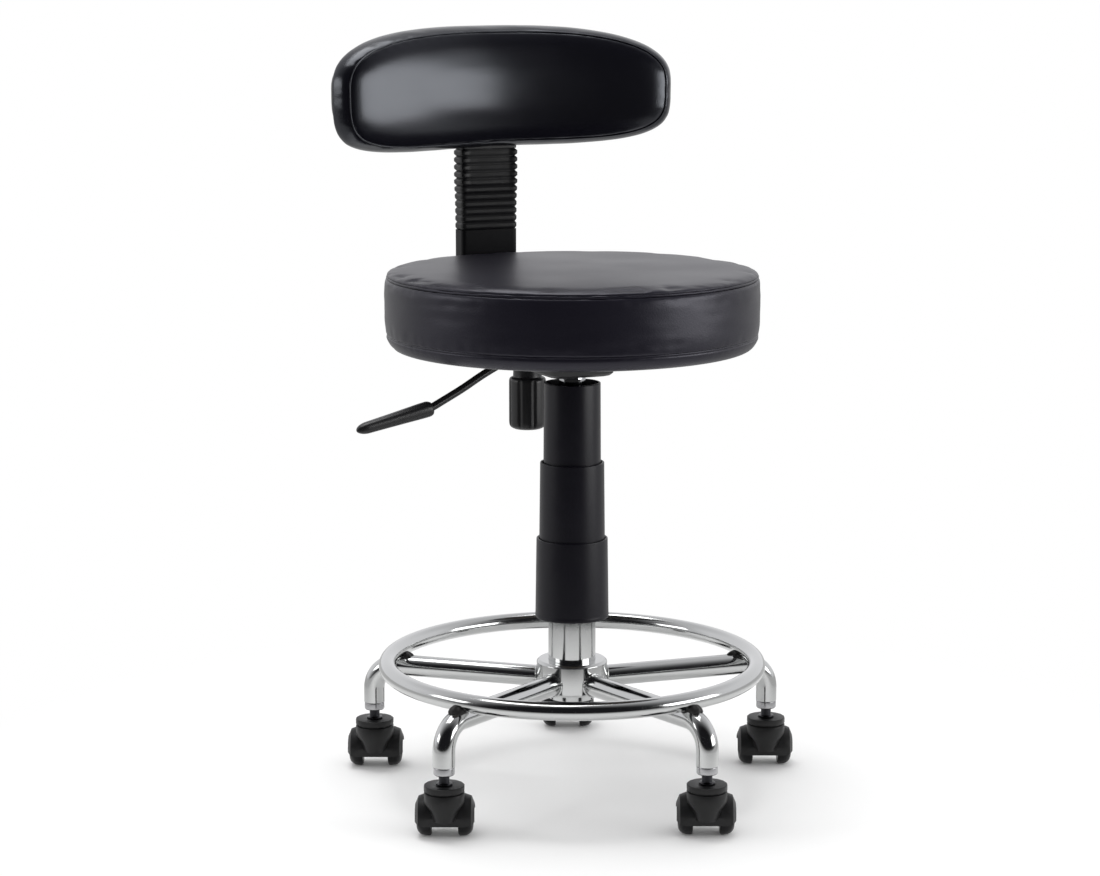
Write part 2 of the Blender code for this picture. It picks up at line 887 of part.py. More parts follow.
def housing_mesh():
    """The pan, drawn from sheet: floor, sloped walls and a flat flange under the seat board."""
    floor = housing_bottom + housing_wall
    under_flange = housing_top - flange_thickness
    bm = bmesh.new()
    wide = housing_half_width + housing_draft
    long_front = housing_front + housing_draft
    long_back = housing_back + housing_draft
    flange_half = wide + flange_width
    flange_front = long_front + flange_width
    flange_back = long_back + flange_width / 2
    edge = housing_corner / 4
    inner = housing_wall
    rings = [
        pan_ring(bm, housing_half_width - edge, housing_front - edge, housing_back - edge, housing_corner, housing_bottom),
        pan_ring(bm, housing_half_width, housing_front, housing_back, housing_corner, housing_bottom + edge),
        pan_ring(bm, wide, long_front, long_back, housing_corner, under_flange),
        pan_ring(bm, flange_half, flange_front, flange_back, housing_corner, under_flange),
        pan_ring(bm, flange_half, flange_front, flange_back, housing_corner, housing_top),
        pan_ring(bm, wide - inner, long_front - inner, long_back - inner, housing_corner - inner, housing_top),
        pan_ring(bm, housing_half_width - inner, housing_front - inner, housing_back - inner,
                 housing_corner - inner, floor),
    ]
    bridge_rings(bm, rings)
    pan = finish_mesh("pan", bm)
    socket_outer = cylinder_radius + socket_wall
    boss = turned(
        "taper_socket",
        [
            (0, housing_bottom + housing_wall / 2),
            (socket_outer, housing_bottom + housing_wall / 2),
            (socket_outer, cylinder_top - seat_gap),
            (0, cylinder_top - seat_gap),
        ],
        round_sides,
    )
    pan = joined("pan_with_socket", pan, boss, "UNION")
    slope = (cylinder_radius - cylinder_taper_radius) / (socket_length + cover_below_socket / 4)
    low = housing_bottom - cutter_overrun
    high = cylinder_top + cutter_overrun
    bore_low = cylinder_taper_radius + slope * (cylinder_top - low) + running_gap
    bore_high = cylinder_taper_radius - slope * (high - cylinder_top) + running_gap
    taper = turned("taper", [(0, low), (bore_low, low), (bore_high, high), (0, high)], round_sides)
    pan = joined("pan_with_bore", pan, taper, "DIFFERENCE")
    bar_low = bar_axis_height - bar_thickness / 2 - seat_gap
    bar_high = bar_axis_height + bar_thickness / 2 + seat_gap
    bridge_half = housing_half_width + housing_wall / 4
    bridge = box_mesh(
        "bridge",
        (-bridge_half, knob_distance - bridge_length / 2, bar_high),
        (bridge_half, knob_distance + bridge_length / 2, bar_high + bridge_thickness),
    )
    pan = joined("pan_with_bridge", pan, bridge, "UNION")
    slot_half = bar_width / 2 + seat_gap
    slot = box_mesh(
        "bar_slot",
        (-slot_half, knob_distance + bridge_length / 2 + running_gap / 2, bar_low),
        (slot_half, housing_back + housing_draft + cutter_overrun, bar_high),
    )
    pan = joined("pan_with_slot", pan, slot, "DIFFERENCE")
    stud_hole = turned(
        "stud_hole",
        [
            (0, housing_bottom - cutter_overrun),
            (stud_radius + running_gap, housing_bottom - cutter_overrun),
            (stud_radius + running_gap, floor + cutter_overrun / 2),
            (0, floor + cutter_overrun / 2),
        ],
        16,
    )
    stud_hole.transform(Matrix.Translation((0, knob_distance, 0)))
    pan = joined("pan_with_stud_hole", pan, stud_hole, "DIFFERENCE")
    lever_slot = box_mesh(
        "lever_slot",
        (-wide - cutter_overrun / 2, -lever_radius - 2 * running_gap, lever_height - lever_radius - seat_gap),
        (-housing_half_width + 2 * housing_wall, lever_radius + 2 * running_gap, under_flange - flange_thickness / 6),
    )
    wall_x = -(housing_half_width + housing_draft / 2)
    lever_y = wall_x * math.tan(lever_turn - math.pi)
    skew = Matrix.Translation((0, lever_y, 0))
    lever_slot.transform(skew)
    return joined("mechanism_housing", pan, lever_slot, "DIFFERENCE")


seat_axis = axis_empty("seat_axis", (0, 0, 0))
place("mechanism_housing", housing_mesh(), dark_steel, parent=seat_axis)


# Lever: a bent rod that presses the button, with a flat moulded grip on its end
def lever_path():
    """Points (outward reach, height) along the rod's centre line, in the lever's upright plane."""
    points = [(0, lever_height), (lever_straight * 0.85, lever_height)]
    slope_share = [(0.0, 0.0), (0.10, 0.035), (0.30, 0.22), (0.62, 0.60), (1.0, 1.0)]
    for out_share, down_share in slope_share:
        reach = lever_straight + (lever_reach - lever_straight) * out_share
        points.append((reach, lever_height - lever_drop * down_share))
    return points


def swept_in_plane(bm, path, half_sizes, sides):
    """Rings square to a path of (reach, height) points; half_sizes gives (sideways, upright) at each."""
    rings = []
    for i, (reach, height) in enumerate(path):
        before = path[max(i - 1, 0)]
        after = path[min(i + 1, len(path) - 1)]
        heading = math.atan2(after[1] - before[1], after[0] - before[0])
        across, upright = half_sizes[i]
        ring = []
        for k in range(sides):
            angle = math.tau * k / sides
            side = across * math.cos(angle)
            up = upright * math.sin(angle)
            ring.append(bm.verts.new((reach - up * math.sin(heading), side, height + up * math.cos(heading))))
        rings.append(ring)
    return rings


pivot_reach = (housing_half_width + housing_draft / 2) / math.cos(lever_turn - math.pi)
lever_axis = axis_empty(
    "lever_axis",
    (pivot_reach * math.cos(lever_turn), pivot_reach * math.sin(lever_turn), lever_height),
    lever_turn,
)


def lever_rod_mesh():
    """The rod, about its pivot in the pan's wall."""
    bm = bmesh.new()
    path = [(reach - pivot_reach, height - lever_height) for reach, height in lever_path()]
    end = path[-1]
    last = path[-2]
    length = math.hypot(end[0] - last[0], end[1] - last[1])
    inward = ((end[0] - last[0]) / length, (end[1] - last[1]) / length)
    path.append((end[0] + inward[0] * grip_socket_depth / 2, end[1] + inward[1] * grip_socket_depth / 2))
    sizes = [(lever_radius, lever_radius)] * len(path)
    bridge_rings(bm, swept_in_plane(bm, path, sizes, lever_sides))
    return finish_mesh("lever_rod", bm)


def lever_grip_mesh():
    """The grip: an oval paddle, blunt where the rod enters and narrower at its rounded tip."""
    rod = lever_path()
    start = (rod[-1][0] - pivot_reach, rod[-1][1] - lever_height)
    before = (rod[-2][0] - pivot_reach, rod[-2][1] - lever_height)
    bm = bmesh.new()
    heading = math.atan2(-grip_drop, grip_length)
    shape_share = [(0.0, 0.80), (0.03, 0.97), (0.12, 1.0), (0.5, 0.94), (0.85, 0.90), (0.95, 0.74), (0.99, 0.42)]
    path = []
    sizes = []
    for along_share, thick_share in shape_share:
        along = grip_length * along_share
        path.append((start[0] + along * math.cos(heading), start[1] + along * math.sin(heading)))
        width = grip_width + (grip_tip_width - grip_width) * along_share
        depth = grip_depth + (grip_tip_depth - grip_depth) * along_share
        sizes.append((width / 2 * thick_share, depth / 2 * thick_share))
    bridge_rings(bm, swept_in_plane(bm, path, sizes, 14))
    solid = finish_mesh("grip_solid", bm)
    hole = bmesh.new()
    slope = math.atan2(start[1] - before[1], start[0] - before[0])
    reach = grip_socket_depth / 2 + seat_gap
    near = (start[0] - cutter_overrun * math.cos(slope), start[1] - cutter_overrun * math.sin(slope))
    far = (start[0] + reach * math.cos(slope), start[1] + reach * math.sin(slope))
    hole_radius = lever_radius + seat_gap
    bridge_rings(hole, swept_in_plane(hole, [near, far], [(hole_radius, hole_radius)] * 2, lever_sides))
    return joined("lever_grip", solid, finish_mesh("grip_hole", hole), "DIFFERENCE")


place("lever_rod", lever_rod_mesh(), black_plastic, parent=lever_axis)
place("lever_grip", lever_grip_mesh(), black_plastic, parent=lever_axis)


# Clamp knob: a fluted head on a neck, whose stud bears on the bar from below
def knob_mesh():
    """Turned about its own axis, with the head's radius drawn in by rounded flutes."""
    stud_top = bar_axis_height - bar_thickness / 2 - seat_gap
    neck_top = housing_bottom - seat_gap
    head_top = neck_top - knob_neck_height
    head_bottom = head_top - knob_height
    rounding = knob_radius / 4
    profile = [
        (0, head_bottom, 0),
        (knob_radius * 0.55, head_bottom, 0),
        (knob_radius - rounding, head_bottom + rounding / 4, 0.3),
        (knob_radius, head_bottom + rounding, 1),
        (knob_radius, head_top - rounding / 2, 1),
        (knob_radius - rounding / 4, head_top - rounding / 8, 0.6),
        (knob_neck_radius + rounding / 8, head_top, 0),
        (knob_neck_radius, head_top + rounding / 4, 0),
        (knob_neck_radius, neck_top, 0),
        (stud_radius, neck_top, 0),
        (stud_radius, stud_top, 0),
        (0, stud_top, 0),
    ]
    sides = 4 * knob_flutes
    bm = bmesh.new()
    rings = []
    for radius, height, flute_share in profile:
        if radius == 0:
            rings.append([bm.verts.new((0, 0, height))])
            continue
        ring = []
        for i in range(sides):
            angle = math.tau * i / sides
            dip = knob_flute_depth * flute_share if i % 4 == 0 else 0
            ring.append(bm.verts.new(((radius - dip) * math.cos(angle), (radius - dip) * math.sin(angle), height)))
        rings.append(ring)
    bridge_rings(bm, rings)
    return finish_mesh("clamp_knob", bm, sharp=math.radians(50))


place("clamp_knob", knob_mesh(), black_plastic, at=(0, knob_distance, 0), parent=seat_axis)

# Seat: a plywood disc let into the underside of a round upholstered cushion
place(
    "seat_board",
    turned(
        "seat_board",
        [
            (0, board_bottom),
            (board_radius - board_edge, board_bottom),
            (board_radius, board_bottom + board_edge),
            (board_radius, board_bottom + board_thickness - board_edge),
            (board_radius - board_edge, board_bottom + board_thickness),
            (0, board_bottom + board_thickness),
        ],
        cushion_sides,
    ),
    plywood,
    parent=seat_axis,
)


def seat_cushion_mesh():
    """A drum with a crowned top, swelling sides and drawn-in seams at both edges of its side band."""
    lower = board_bottom + cushion_lower_seam
    upper = board_bottom + cushion_upper_seam
    top = board_bottom + cushion_height
    seam = cushion_radius - cushion_seam_groove
    under = cushion_under_radius
    recess_radius = board_radius + seat_gap
    recess_top = board_bottom + board_thickness + seat_gap
    band = upper - lower
    roll = top - upper
    profile = [
        (0, recess_top),
        (recess_radius, recess_top),
        (recess_radius, board_bottom),
        (under, board_bottom),
        (under + (cushion_radius - under) * 0.62, board_bottom + cushion_lower_seam * 0.30),
        (cushion_radius, board_bottom + cushion_lower_seam * 0.78),
        (seam, lower),
        (cushion_radius + cushion_bulge * 0.35, lower + band * 0.10),
        (cushion_radius + cushion_bulge * 0.45, lower + band * 0.5),
        (cushion_radius + cushion_bulge * 0.35, upper - band * 0.08),
        (seam, upper),
        (cushion_radius - cushion_bulge * 0.5, upper + roll * 0.28),
        (cushion_radius - roll * 0.75, upper + roll * 0.55),
        (cushion_radius - roll * 2.2, upper + roll * 0.76),
        (cushion_radius * 0.70, upper + roll * 0.91),
        (cushion_radius * 0.38, upper + roll * 0.985),
        (0, top),
    ]
    return turned("seat_cushion", profile, cushion_sides)


place("seat_cushion", seat_cushion_mesh(), leatherette, parent=seat_axis)


# Backrest bar: flat steel bent into an L, with a smooth sleeve and a ribbed bellows over it
def bar_path(start, end_height):
    """Centre line points (y, z, heading) of the L: back along Y, round the bend and up."""
    bend_y = bar_distance - bar_bend_radius
    points = [(start, bar_axis_height, 0.0)]
    steps = 6
    for step in range(steps + 1):
        angle = math.pi / 2 * step / steps
        points.append(
            (
                bend_y + bar_bend_radius * math.sin(angle),
                bar_axis_height + bar_bend_radius * (1 - math.cos(angle)),
                angle,
            )
        )
    points.append((bar_distance, end_height, math.pi / 2))
    return points


def flat_ring(bm, outline, point):
    """An outline (across, through) set square to the bar's path at a point."""
    y, z, heading = point
    ring = []
    for across, through in outline:
        ring.append(bm.verts.new((across, y - through * math.sin(heading), z + through * math.cos(heading))))
    return ring


def back_bar_mesh():
    """The bar, with slightly rounded edges."""
    bm = bmesh.new()
    outline = rounded_rectangle(bar_width / 2, bar_thickness / 2, bar_thickness / 5, corner_steps=1)
    bridge_rings(bm, [flat_ring(bm, outline, point) for point in bar_path(bar_front, bar_top)])
    return finish_mesh("back_bar", bm)


def sleeve_mesh():
    """The sleeve: a flattened tube along the L, narrowed to the bar at its front end."""
    bm = bmesh.new()
    half_width = sleeve_width / 2
    half_depth = sleeve_depth / 2
    outer = rounded_rectangle(half_width, half_depth, sleeve_corner, corner_steps=1)
    inner = rounded_rectangle(half_width - sleeve_wall, half_depth - sleeve_wall, sleeve_corner - sleeve_wall / 2, corner_steps=1)
    slot = rounded_rectangle(bar_width / 2 + seat_gap, bar_thickness / 2 + seat_gap, bar_thickness / 5, corner_steps=1)
    path = bar_path(sleeve_front, sleeve_top)
    inside_front = (sleeve_front + sleeve_lip, bar_axis_height, 0.0)
    rings = [flat_ring(bm, outer, point) for point in path]
    rings += [flat_ring(bm, inner, point) for point in reversed(path[1:])]
    rings += [flat_ring(bm, inner, inside_front), flat_ring(bm, slot, inside_front), flat_ring(bm, slot, path[0])]
    bridge_rings(bm, rings, loop=True)
    return finish_mesh("bar_sleeve", bm)


def bellows_mesh():
    """The bellows: a flattened tube folded into ribs, open at both ends."""
    bm = bmesh.new()
    low = sleeve_top + seat_gap
    high = collar_bottom - seat_gap
    half_depth = sleeve_depth / 2
    pitch = (high - low) / bellows_ribs
    crest = rounded_rectangle(bellows_width / 2, half_depth + bellows_rib_depth / 2, sleeve_corner, corner_steps=1)
    valley = rounded_rectangle(
        bellows_width / 2 - bellows_rib_depth,
        half_depth - bellows_rib_depth / 2,
        sleeve_corner - bellows_rib_depth / 2,
        corner_steps=1,
    )
    inner = rounded_rectangle(
        bellows_width / 2 - bellows_rib_depth - bellows_wall,
        half_depth - bellows_rib_depth / 2 - bellows_wall,
        sleeve_corner - bellows_rib_depth / 2 - bellows_wall / 2,
        corner_steps=1,
    )
    rings = []
    for rib in range(bellows_ribs):
        foot = low + pitch * rib
        for rise_share, outline in ((0.0, valley), (0.30, crest), (0.72, crest)):
            rings.append(flat_ring(bm, outline, (bar_distance, foot + pitch * rise_share, math.pi / 2)))
    rings.append(flat_ring(bm, valley, (bar_distance, high, math.pi / 2)))
    rings.append(flat_ring(bm, inner, (bar_distance, high, math.pi / 2)))
    rings.append(flat_ring(bm, inner, (bar_distance, low, math.pi / 2)))
    bridge_rings(bm, rings, loop=True)
    return finish_mesh("bar_bellows", bm)


depth_axis = axis_empty("depth_axis", (0, 0, 0), parent=seat_axis)
place("back_bar", back_bar_mesh(), dark_steel, parent=depth_axis)
place("bar_sleeve", sleeve_mesh(), cover_plastic, parent=depth_axis)
place("bar_bellows", bellows_mesh(), black_plastic, parent=depth_axis)


# Backrest pad: board, cushion and rear shell, all bent about one upright axis in front of them
def pad_outline(inset):
    """The pad's outline laid flat: (along, upright) points of an oval, fuller below than above."""
    points = []
    for i in range(pad_points):
        angle = math.tau * i / pad_points
        cosine = math.cos(angle)
        sine = math.sin(angle)
        power = pad_upper_power_share if sine >= 0 else pad_lower_power_share
        reach = (abs(cosine) ** power + abs(sine) ** power) ** (-1 / power)
        points.append(((pad_half_length - inset) * reach * cosine, (pad_half_height - inset) * reach * sine))
    return points


def pad_point(along, upright, depth):
    """A flat point bent round the pad's axis; depth is measured back from the board's front."""
    angle = along / pad_bend_radius
    radius = pad_bend_radius + depth
    return (radius * math.sin(angle), pad_bend_centre + radius * math.cos(angle), pad_centre_height + upright)


def pad_ring(bm, outline, share, depth):
    """A ring of the pad: an outline drawn in by a share, at a depth."""
    return [bm.verts.new(pad_point(along * share, upright * share, depth)) for along, upright in outline]


def pad_pole(bm, depth):
    """The middle point of a pad's face."""
    return [bm.verts.new(pad_point(0, 0, depth))]


def bent_plate(name, inset, front, back):
    """A plate of the pad's outline between two depths, built of upright strips, so that its faces stay flat."""
    half_length = pad_half_length - inset
    half_height = pad_half_height - inset
    columns = 18
    bm = bmesh.new()
    rings = []
    for i in range(columns + 1):
        place_share = math.sin(math.pi / 2 * pad_end_share * (2 * i / columns - 1))
        top = half_height * (1 - abs(place_share) ** pad_upper_power_share) ** (1 / pad_upper_power_share)
        bottom = -half_height * (1 - abs(place_share) ** pad_lower_power_share) ** (1 / pad_lower_power_share)
        along = half_length * place_share
        corners = ((bottom, front), (top, front), (top, back), (bottom, back))
        rings.append([bm.verts.new(pad_point(along, upright, depth)) for upright, depth in corners])
    bridge_rings(bm, rings)
    return finish_mesh(name, bm)


def back_cushion_mesh():
    """The front cushion: a crowned face, a seam, a rounded side and a recess for the board behind."""
    bm = bmesh.new()
    edge = pad_outline(0)
    front = -pad_side_depth
    crown = front - pad_crown
    back = back_board_thickness
    rings = [
        pad_pole(bm, crown),
        pad_ring(bm, edge, 0.30, front - pad_crown * 0.97),
        pad_ring(bm, edge, 0.56, front - pad_crown * 0.84),
        pad_ring(bm, edge, 0.76, front - pad_crown * 0.60),
        pad_ring(bm, edge, 0.89, front - pad_crown * 0.26),
        pad_ring(bm, edge, 0.945, front + pad_seam_groove),
        pad_ring(bm, edge, 0.98, front + pad_side_depth * 0.12),
        pad_ring(bm, edge, 1.0, front + pad_side_depth * 0.50),
        pad_ring(bm, edge, 1.0, front + pad_side_depth * 0.95),
        pad_ring(bm, edge, 0.985, back - pad_back_wrap * 2),
        pad_ring(bm, edge, 0.965, back),
        pad_pole(bm, back),
    ]
    bridge_rings(bm, rings)
    solid = finish_mesh("cushion_solid", bm)
    recess = bent_plate("board_recess", back_board_inset - seat_gap, -seat_gap, back + cutter_overrun)
    return joined("back_cushion", solid, recess, "DIFFERENCE")


def back_shell_mesh():
    """The moulded rear shell: a shallow dish over the bracket, with a collar where the bar goes in."""
    bm = bmesh.new()
    outer = pad_outline(shell_inset)
    inner = pad_outline(shell_inset + shell_wall)
    front = back_board_thickness + 2 * seat_gap
    deep = front + shell_depth
    inside = deep - shell_wall
    rings = [
        pad_ring(bm, outer, 1.0, front),
        pad_ring(bm, outer, 0.995, front + shell_depth * 0.30),
        pad_ring(bm, outer, 0.93, front + shell_depth * 0.72),
        pad_ring(bm, outer, 0.72, deep - shell_depth * 0.05),
        pad_ring(bm, outer, 0.40, deep),
        pad_pole(bm, deep),
    ]
    bridge_rings(bm, rings, closed_ends=(False, False))
    inner_rings = [
        pad_pole(bm, inside),
        pad_ring(bm, inner, 0.40, inside),
        pad_ring(bm, inner, 0.72, inside - shell_depth * 0.05),
        pad_ring(bm, inner, 0.93, inside - shell_depth * 0.27),
        pad_ring(bm, inner, 0.99, front + shell_depth * 0.28),
        pad_ring(bm, inner, 1.0, front),
    ]
    bridge_rings(bm, inner_rings, closed_ends=(False, False))
    bridge_rings(bm, [inner_rings[-1], rings[0]], closed_ends=(False, False))
    dish = finish_mesh("shell_dish", bm)
    half_width = sleeve_width / 2
    half_depth = collar_depth / 2
    neck_top = pad_bottom + shell_inset + shell_wall
    slot_reach = neck_top + 3 * shell_wall
    lip_top = pad_bottom - seat_gap
    neck_front = board_back + 2 * seat_gap
    neck_side = [
        (bar_distance - half_depth, collar_bottom),
        (bar_distance + half_depth, collar_bottom),
        (bar_distance + half_depth, neck_top),
        (neck_front, neck_top),
        (neck_front, lip_top),
        (bar_distance - half_depth, lip_top),
    ]
    neck = prism_across("shell_neck", neck_side, half_width)
    dish = joined("shell_with_neck", dish, neck, "UNION")
    slot = box_mesh(
        "shell_slot",
        (-half_width + shell_wall, bar_distance - half_depth + shell_wall, collar_bottom - cutter_overrun),
        (half_width - shell_wall, bar_distance + half_depth - shell_wall, slot_reach),
    )
    return joined("back_shell", dish, slot, "DIFFERENCE")


def bracket_mesh():
    """A flat steel sleeve screwed to the board, in which the bar slides."""
    bm = bmesh.new()
    outer = rounded_rectangle(
        bar_width / 2 + seat_gap + bracket_wall, bar_thickness / 2 + seat_gap + bracket_wall, bracket_wall, corner_steps=2
    )
    inner = rounded_rectangle(bar_width / 2 + seat_gap, bar_thickness / 2 + seat_gap, bar_thickness / 5, corner_steps=2)
    low = (bar_distance, pad_centre_height - bracket_drop, math.pi / 2)
    high = (bar_distance, pad_centre_height - bracket_drop + bracket_height, math.pi / 2)
    rings = [flat_ring(bm, outer, low), flat_ring(bm, outer, high), flat_ring(bm, inner, high), flat_ring(bm, inner, low)]
    bridge_rings(bm, rings, loop=True)
    return finish_mesh("back_bracket", bm)


height_axis = axis_empty("height_axis", (0, 0, 0), parent=depth_axis)
place("back_bracket", bracket_mesh(), zinc, parent=height_axis)
place("back_board", bent_plate("back_board", back_board_inset, 0, back_board_thickness), plywood, parent=height_axis)
place("back_shell", back_shell_mesh(), cover_plastic, parent=height_axis)
place("back_cushion", back_cushion_mesh(), leatherette, parent=height_axis)
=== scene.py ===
import math

import bpy
import numpy as np
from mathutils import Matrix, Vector


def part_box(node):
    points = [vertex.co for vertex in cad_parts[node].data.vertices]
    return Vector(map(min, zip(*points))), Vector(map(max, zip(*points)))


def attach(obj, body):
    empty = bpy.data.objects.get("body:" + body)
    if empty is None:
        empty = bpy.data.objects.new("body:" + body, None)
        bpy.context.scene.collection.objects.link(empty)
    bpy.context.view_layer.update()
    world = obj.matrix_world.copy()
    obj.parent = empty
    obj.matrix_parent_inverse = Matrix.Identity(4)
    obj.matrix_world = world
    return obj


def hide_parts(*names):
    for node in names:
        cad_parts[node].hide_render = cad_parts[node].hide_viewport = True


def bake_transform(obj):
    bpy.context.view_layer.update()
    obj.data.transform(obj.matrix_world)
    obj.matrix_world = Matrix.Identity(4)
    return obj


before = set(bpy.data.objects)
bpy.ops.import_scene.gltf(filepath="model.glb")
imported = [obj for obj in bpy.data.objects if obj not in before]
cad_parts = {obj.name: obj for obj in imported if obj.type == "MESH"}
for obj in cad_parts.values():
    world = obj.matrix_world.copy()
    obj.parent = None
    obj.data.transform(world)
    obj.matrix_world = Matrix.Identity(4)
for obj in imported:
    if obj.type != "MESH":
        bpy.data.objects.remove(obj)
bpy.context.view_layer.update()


# Castor wheels
# Ten solid nylon wheels of 40 mm, two to a castor, each turning freely on one steel axle.
# The outer face is domed to its rim, with a turned recess and a small hub in its middle.
def blank_group(name, inputs, outputs):
    """An empty shader group with named sockets: (name, kind, value) going in and (name, kind) coming out."""
    tree = bpy.data.node_groups.new(name, "ShaderNodeTree")
    for label, kind, value in inputs:
        tree.interface.new_socket(label, in_out="INPUT", socket_type="NodeSocket" + kind).default_value = value
    for label, kind in outputs:
        tree.interface.new_socket(label, in_out="OUTPUT", socket_type="NodeSocket" + kind)
    return tree, tree.nodes.new("NodeGroupInput").outputs, tree.nodes.new("NodeGroupOutput").inputs


def plugged(sockets, given):
    """Each socket named takes what it is given: a value, another socket, or a node's first output in use."""
    for name, value in given.items():
        if isinstance(value, bpy.types.Node):
            value = next(output for output in value.outputs if output.enabled)
        if isinstance(value, bpy.types.NodeSocket):
            value.id_data.links.new(value, sockets[name])
        else:
            sockets[name].default_value = value


def added(tree, kind, given, **settings):
    """A shader node with its settings, and with its inputs plugged."""
    made = tree.nodes.new("ShaderNode" + kind)
    for name, value in settings.items():
        setattr(made, name, value)
    plugged(made.inputs, given)
    return made


def uneven(tree, place, scale, detail):
    """A noise at the given places, less 0.5."""
    noise = added(tree, "TexNoise", {"Vector": place, "Scale": scale, "Detail": detail})
    return added(tree, "Math", {0: noise, 1: 0.5}, operation="SUBTRACT")


def surface_group():
    """Handled surface on Object coordinates: colour x (1 + cloudiness x (slow noise - 0.5)),
    roughness + spread x (quicker noise - 0.5), and a normal bumped by a fine grain."""
    tree, given, out = blank_group(
        "handled_surface",
        [("Colour", "Color", (0.02, 0.02, 0.02, 1)), ("Cloudiness", "Float", 0.2), ("Roughness", "Float", 0.4),
         ("Roughness spread", "Float", 0.1), ("Grain scale", "Float", 900.0),
         ("Grain depth", "Float", 0.00005)],
        [("Colour", "Color"), ("Roughness", "Float"), ("Normal", "Vector")])
    place = added(tree, "TexCoord", {}).outputs["Object"]
    cloud = uneven(tree, place, 16, 5)
    swing = added(tree, "Math", {0: cloud, 1: given["Cloudiness"], 2: 1.0}, operation="MULTIPLY_ADD")
    tint = added(tree, "VectorMath", {0: given["Colour"], "Scale": swing}, operation="SCALE")
    smear = uneven(tree, place, 60, 3)
    rough = added(tree, "Math", {0: smear, 1: given["Roughness spread"], 2: given["Roughness"]},
                  operation="MULTIPLY_ADD", use_clamp=True)
    grain = added(tree, "TexNoise", {"Vector": place, "Scale": given["Grain scale"], "Detail": 2})
    bump = added(tree, "Bump", {"Strength": 1.0, "Distance": given["Grain depth"], "Height": grain})
    plugged(out, {"Colour": tint, "Roughness": rough, "Normal": bump})
    return tree


handled_surface = surface_group()


def blank_material(name):
    """A new material, with its node tree and its Principled shader."""
    material = bpy.data.materials.new(name)
    material.use_nodes = True
    return material, material.node_tree, material.node_tree.nodes["Principled BSDF"]


def handled_material(name, colour, roughness, cloudiness=0.25, spread=0.15, grain=(900, 0.00003), metallic=0.0,
                     shine=0.5):
    """A material whose colour, gloss and grain, given as scale and depth, come from the handled surface."""
    material, tree, shader = blank_material(name)
    effect = added(tree, "Group", {
        "Colour": (*colour, 1), "Cloudiness": cloudiness, "Roughness": roughness, "Roughness spread": spread,
        "Grain scale": grain[0], "Grain depth": grain[1]}, node_tree=handled_surface).outputs
    plugged(shader.inputs, {"Base Color": effect["Colour"], "Roughness": effect["Roughness"],
                            "Normal": effect["Normal"], "Metallic": metallic, "Specular IOR Level": shine})
    return material


def filleted(corners, radii, steps=6):
    """A line of corner points, each inner corner turned into a quadratic arc that begins a radius before it."""
    corners = np.asarray(corners, float)
    radii = np.broadcast_to(np.asarray(radii, float), len(corners) - 2)[:, None]
    behind, ahead = corners[:-2] - corners[1:-1], corners[2:] - corners[1:-1]
    far_behind = np.linalg.norm(behind, axis=1, keepdims=True)
    far_ahead = np.linalg.norm(ahead, axis=1, keepdims=True)
    start = corners[1:-1] + behind / far_behind * np.minimum(radii, far_behind * 0.48)
    end = corners[1:-1] + ahead / far_ahead * np.minimum(radii, far_ahead * 0.48)
    t = np.linspace(0, 1, steps)[None, :, None]
    arcs = (1 - t) ** 2 * start[:, None] + 2 * t * (1 - t) * corners[1:-1, None] + t**2 * end[:, None]
    return np.vstack([corners[:1], arcs.reshape(-1, corners.shape[1]), corners[-1:]])


def section_line(points, radii, base=0.0, steps=5):
    """A filleted section: (radius, height) points and radii in mm, with heights above a base in metres."""
    return filleted(np.array(points) * mm + (0, base), np.asarray(radii) * mm, steps)


def full_turn(steps):
    """Even angles round a full turn."""
    return 2 * np.pi * np.arange(steps) / steps


def turned(profile, steps, axis="z", centre=(0, 0, 0)):
    """A profile of (radius, along) points turned round an axis, a row for each point:
    (radius cos a, radius sin a, along)."""
    profile = np.asarray(profile, float)
    angle = full_turn(steps)
    across = profile[:, :1] * np.cos(angle)
    upright = profile[:, :1] * np.sin(angle)
    along = np.repeat(profile[:, 1:2], steps, 1)
    order = (across, upright, along) if axis == "z" else (along, across, upright)
    return np.stack(order, -1) + np.asarray(centre, float)


def skin(grid, ends="cap"):
    """Points, and arrays of faces, of a grid whose columns close on themselves: quads between its rows, facing
    away from the middle, and a cap at each end, or the last row looped to the first."""
    rows, columns = grid.shape[:2]
    row = np.arange(rows if ends == "loop" else rows - 1)[:, None]
    column = np.arange(columns)[None, :]
    after = (row + 1) % rows
    beside = (column + 1) % columns
    quads = np.stack([row * columns + column, row * columns + beside, after * columns + beside,
                      after * columns + column], -1).reshape(-1, 4)
    points = grid.reshape(-1, 3)
    middle = points.mean(0)
    a, b, c, d = (points[quads[:, i]] - middle for i in range(4))
    inward = (np.einsum("ij,ij->i", a, np.cross(b, c)) + np.einsum("ij,ij->i", a, np.cross(c, d))).sum() < 0
    faces = [quads]
    if ends == "cap":
        faces += [np.arange(columns)[None, ::-1], np.arange((rows - 1) * columns, rows * columns)[None]]
    return points, [part[:, ::-1] if inward else part for part in faces]


def mesh_of(name, skins):
    """One mesh of one or more skins, each one's faces numbered on from the skin before."""
    faces, count = [], 0
    for points, parts in skins:
        for part in parts:
            faces += (part + count).tolist()
        count += len(points)
    mesh = bpy.data.meshes.new(name)
    mesh.from_pydata(np.vstack([points for points, parts in skins]).tolist(), [], faces)
    return mesh


def piece(name, skins, body, material, replaces=(), sharp=38):
    """An object made of skins, smooth but for edges sharper than an angle, that rides on its body, if any."""
    mesh = mesh_of(name, skins)
    mesh.shade_smooth()
    mesh.set_sharp_from_angle(angle=math.radians(sharp))
    mesh.materials.append(material)
    made = bpy.data.objects.new(name, mesh)
    bpy.context.scene.collection.objects.link(made)
    if body:
        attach(made, body)
    if replaces:
        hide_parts(*replaces)
    return made


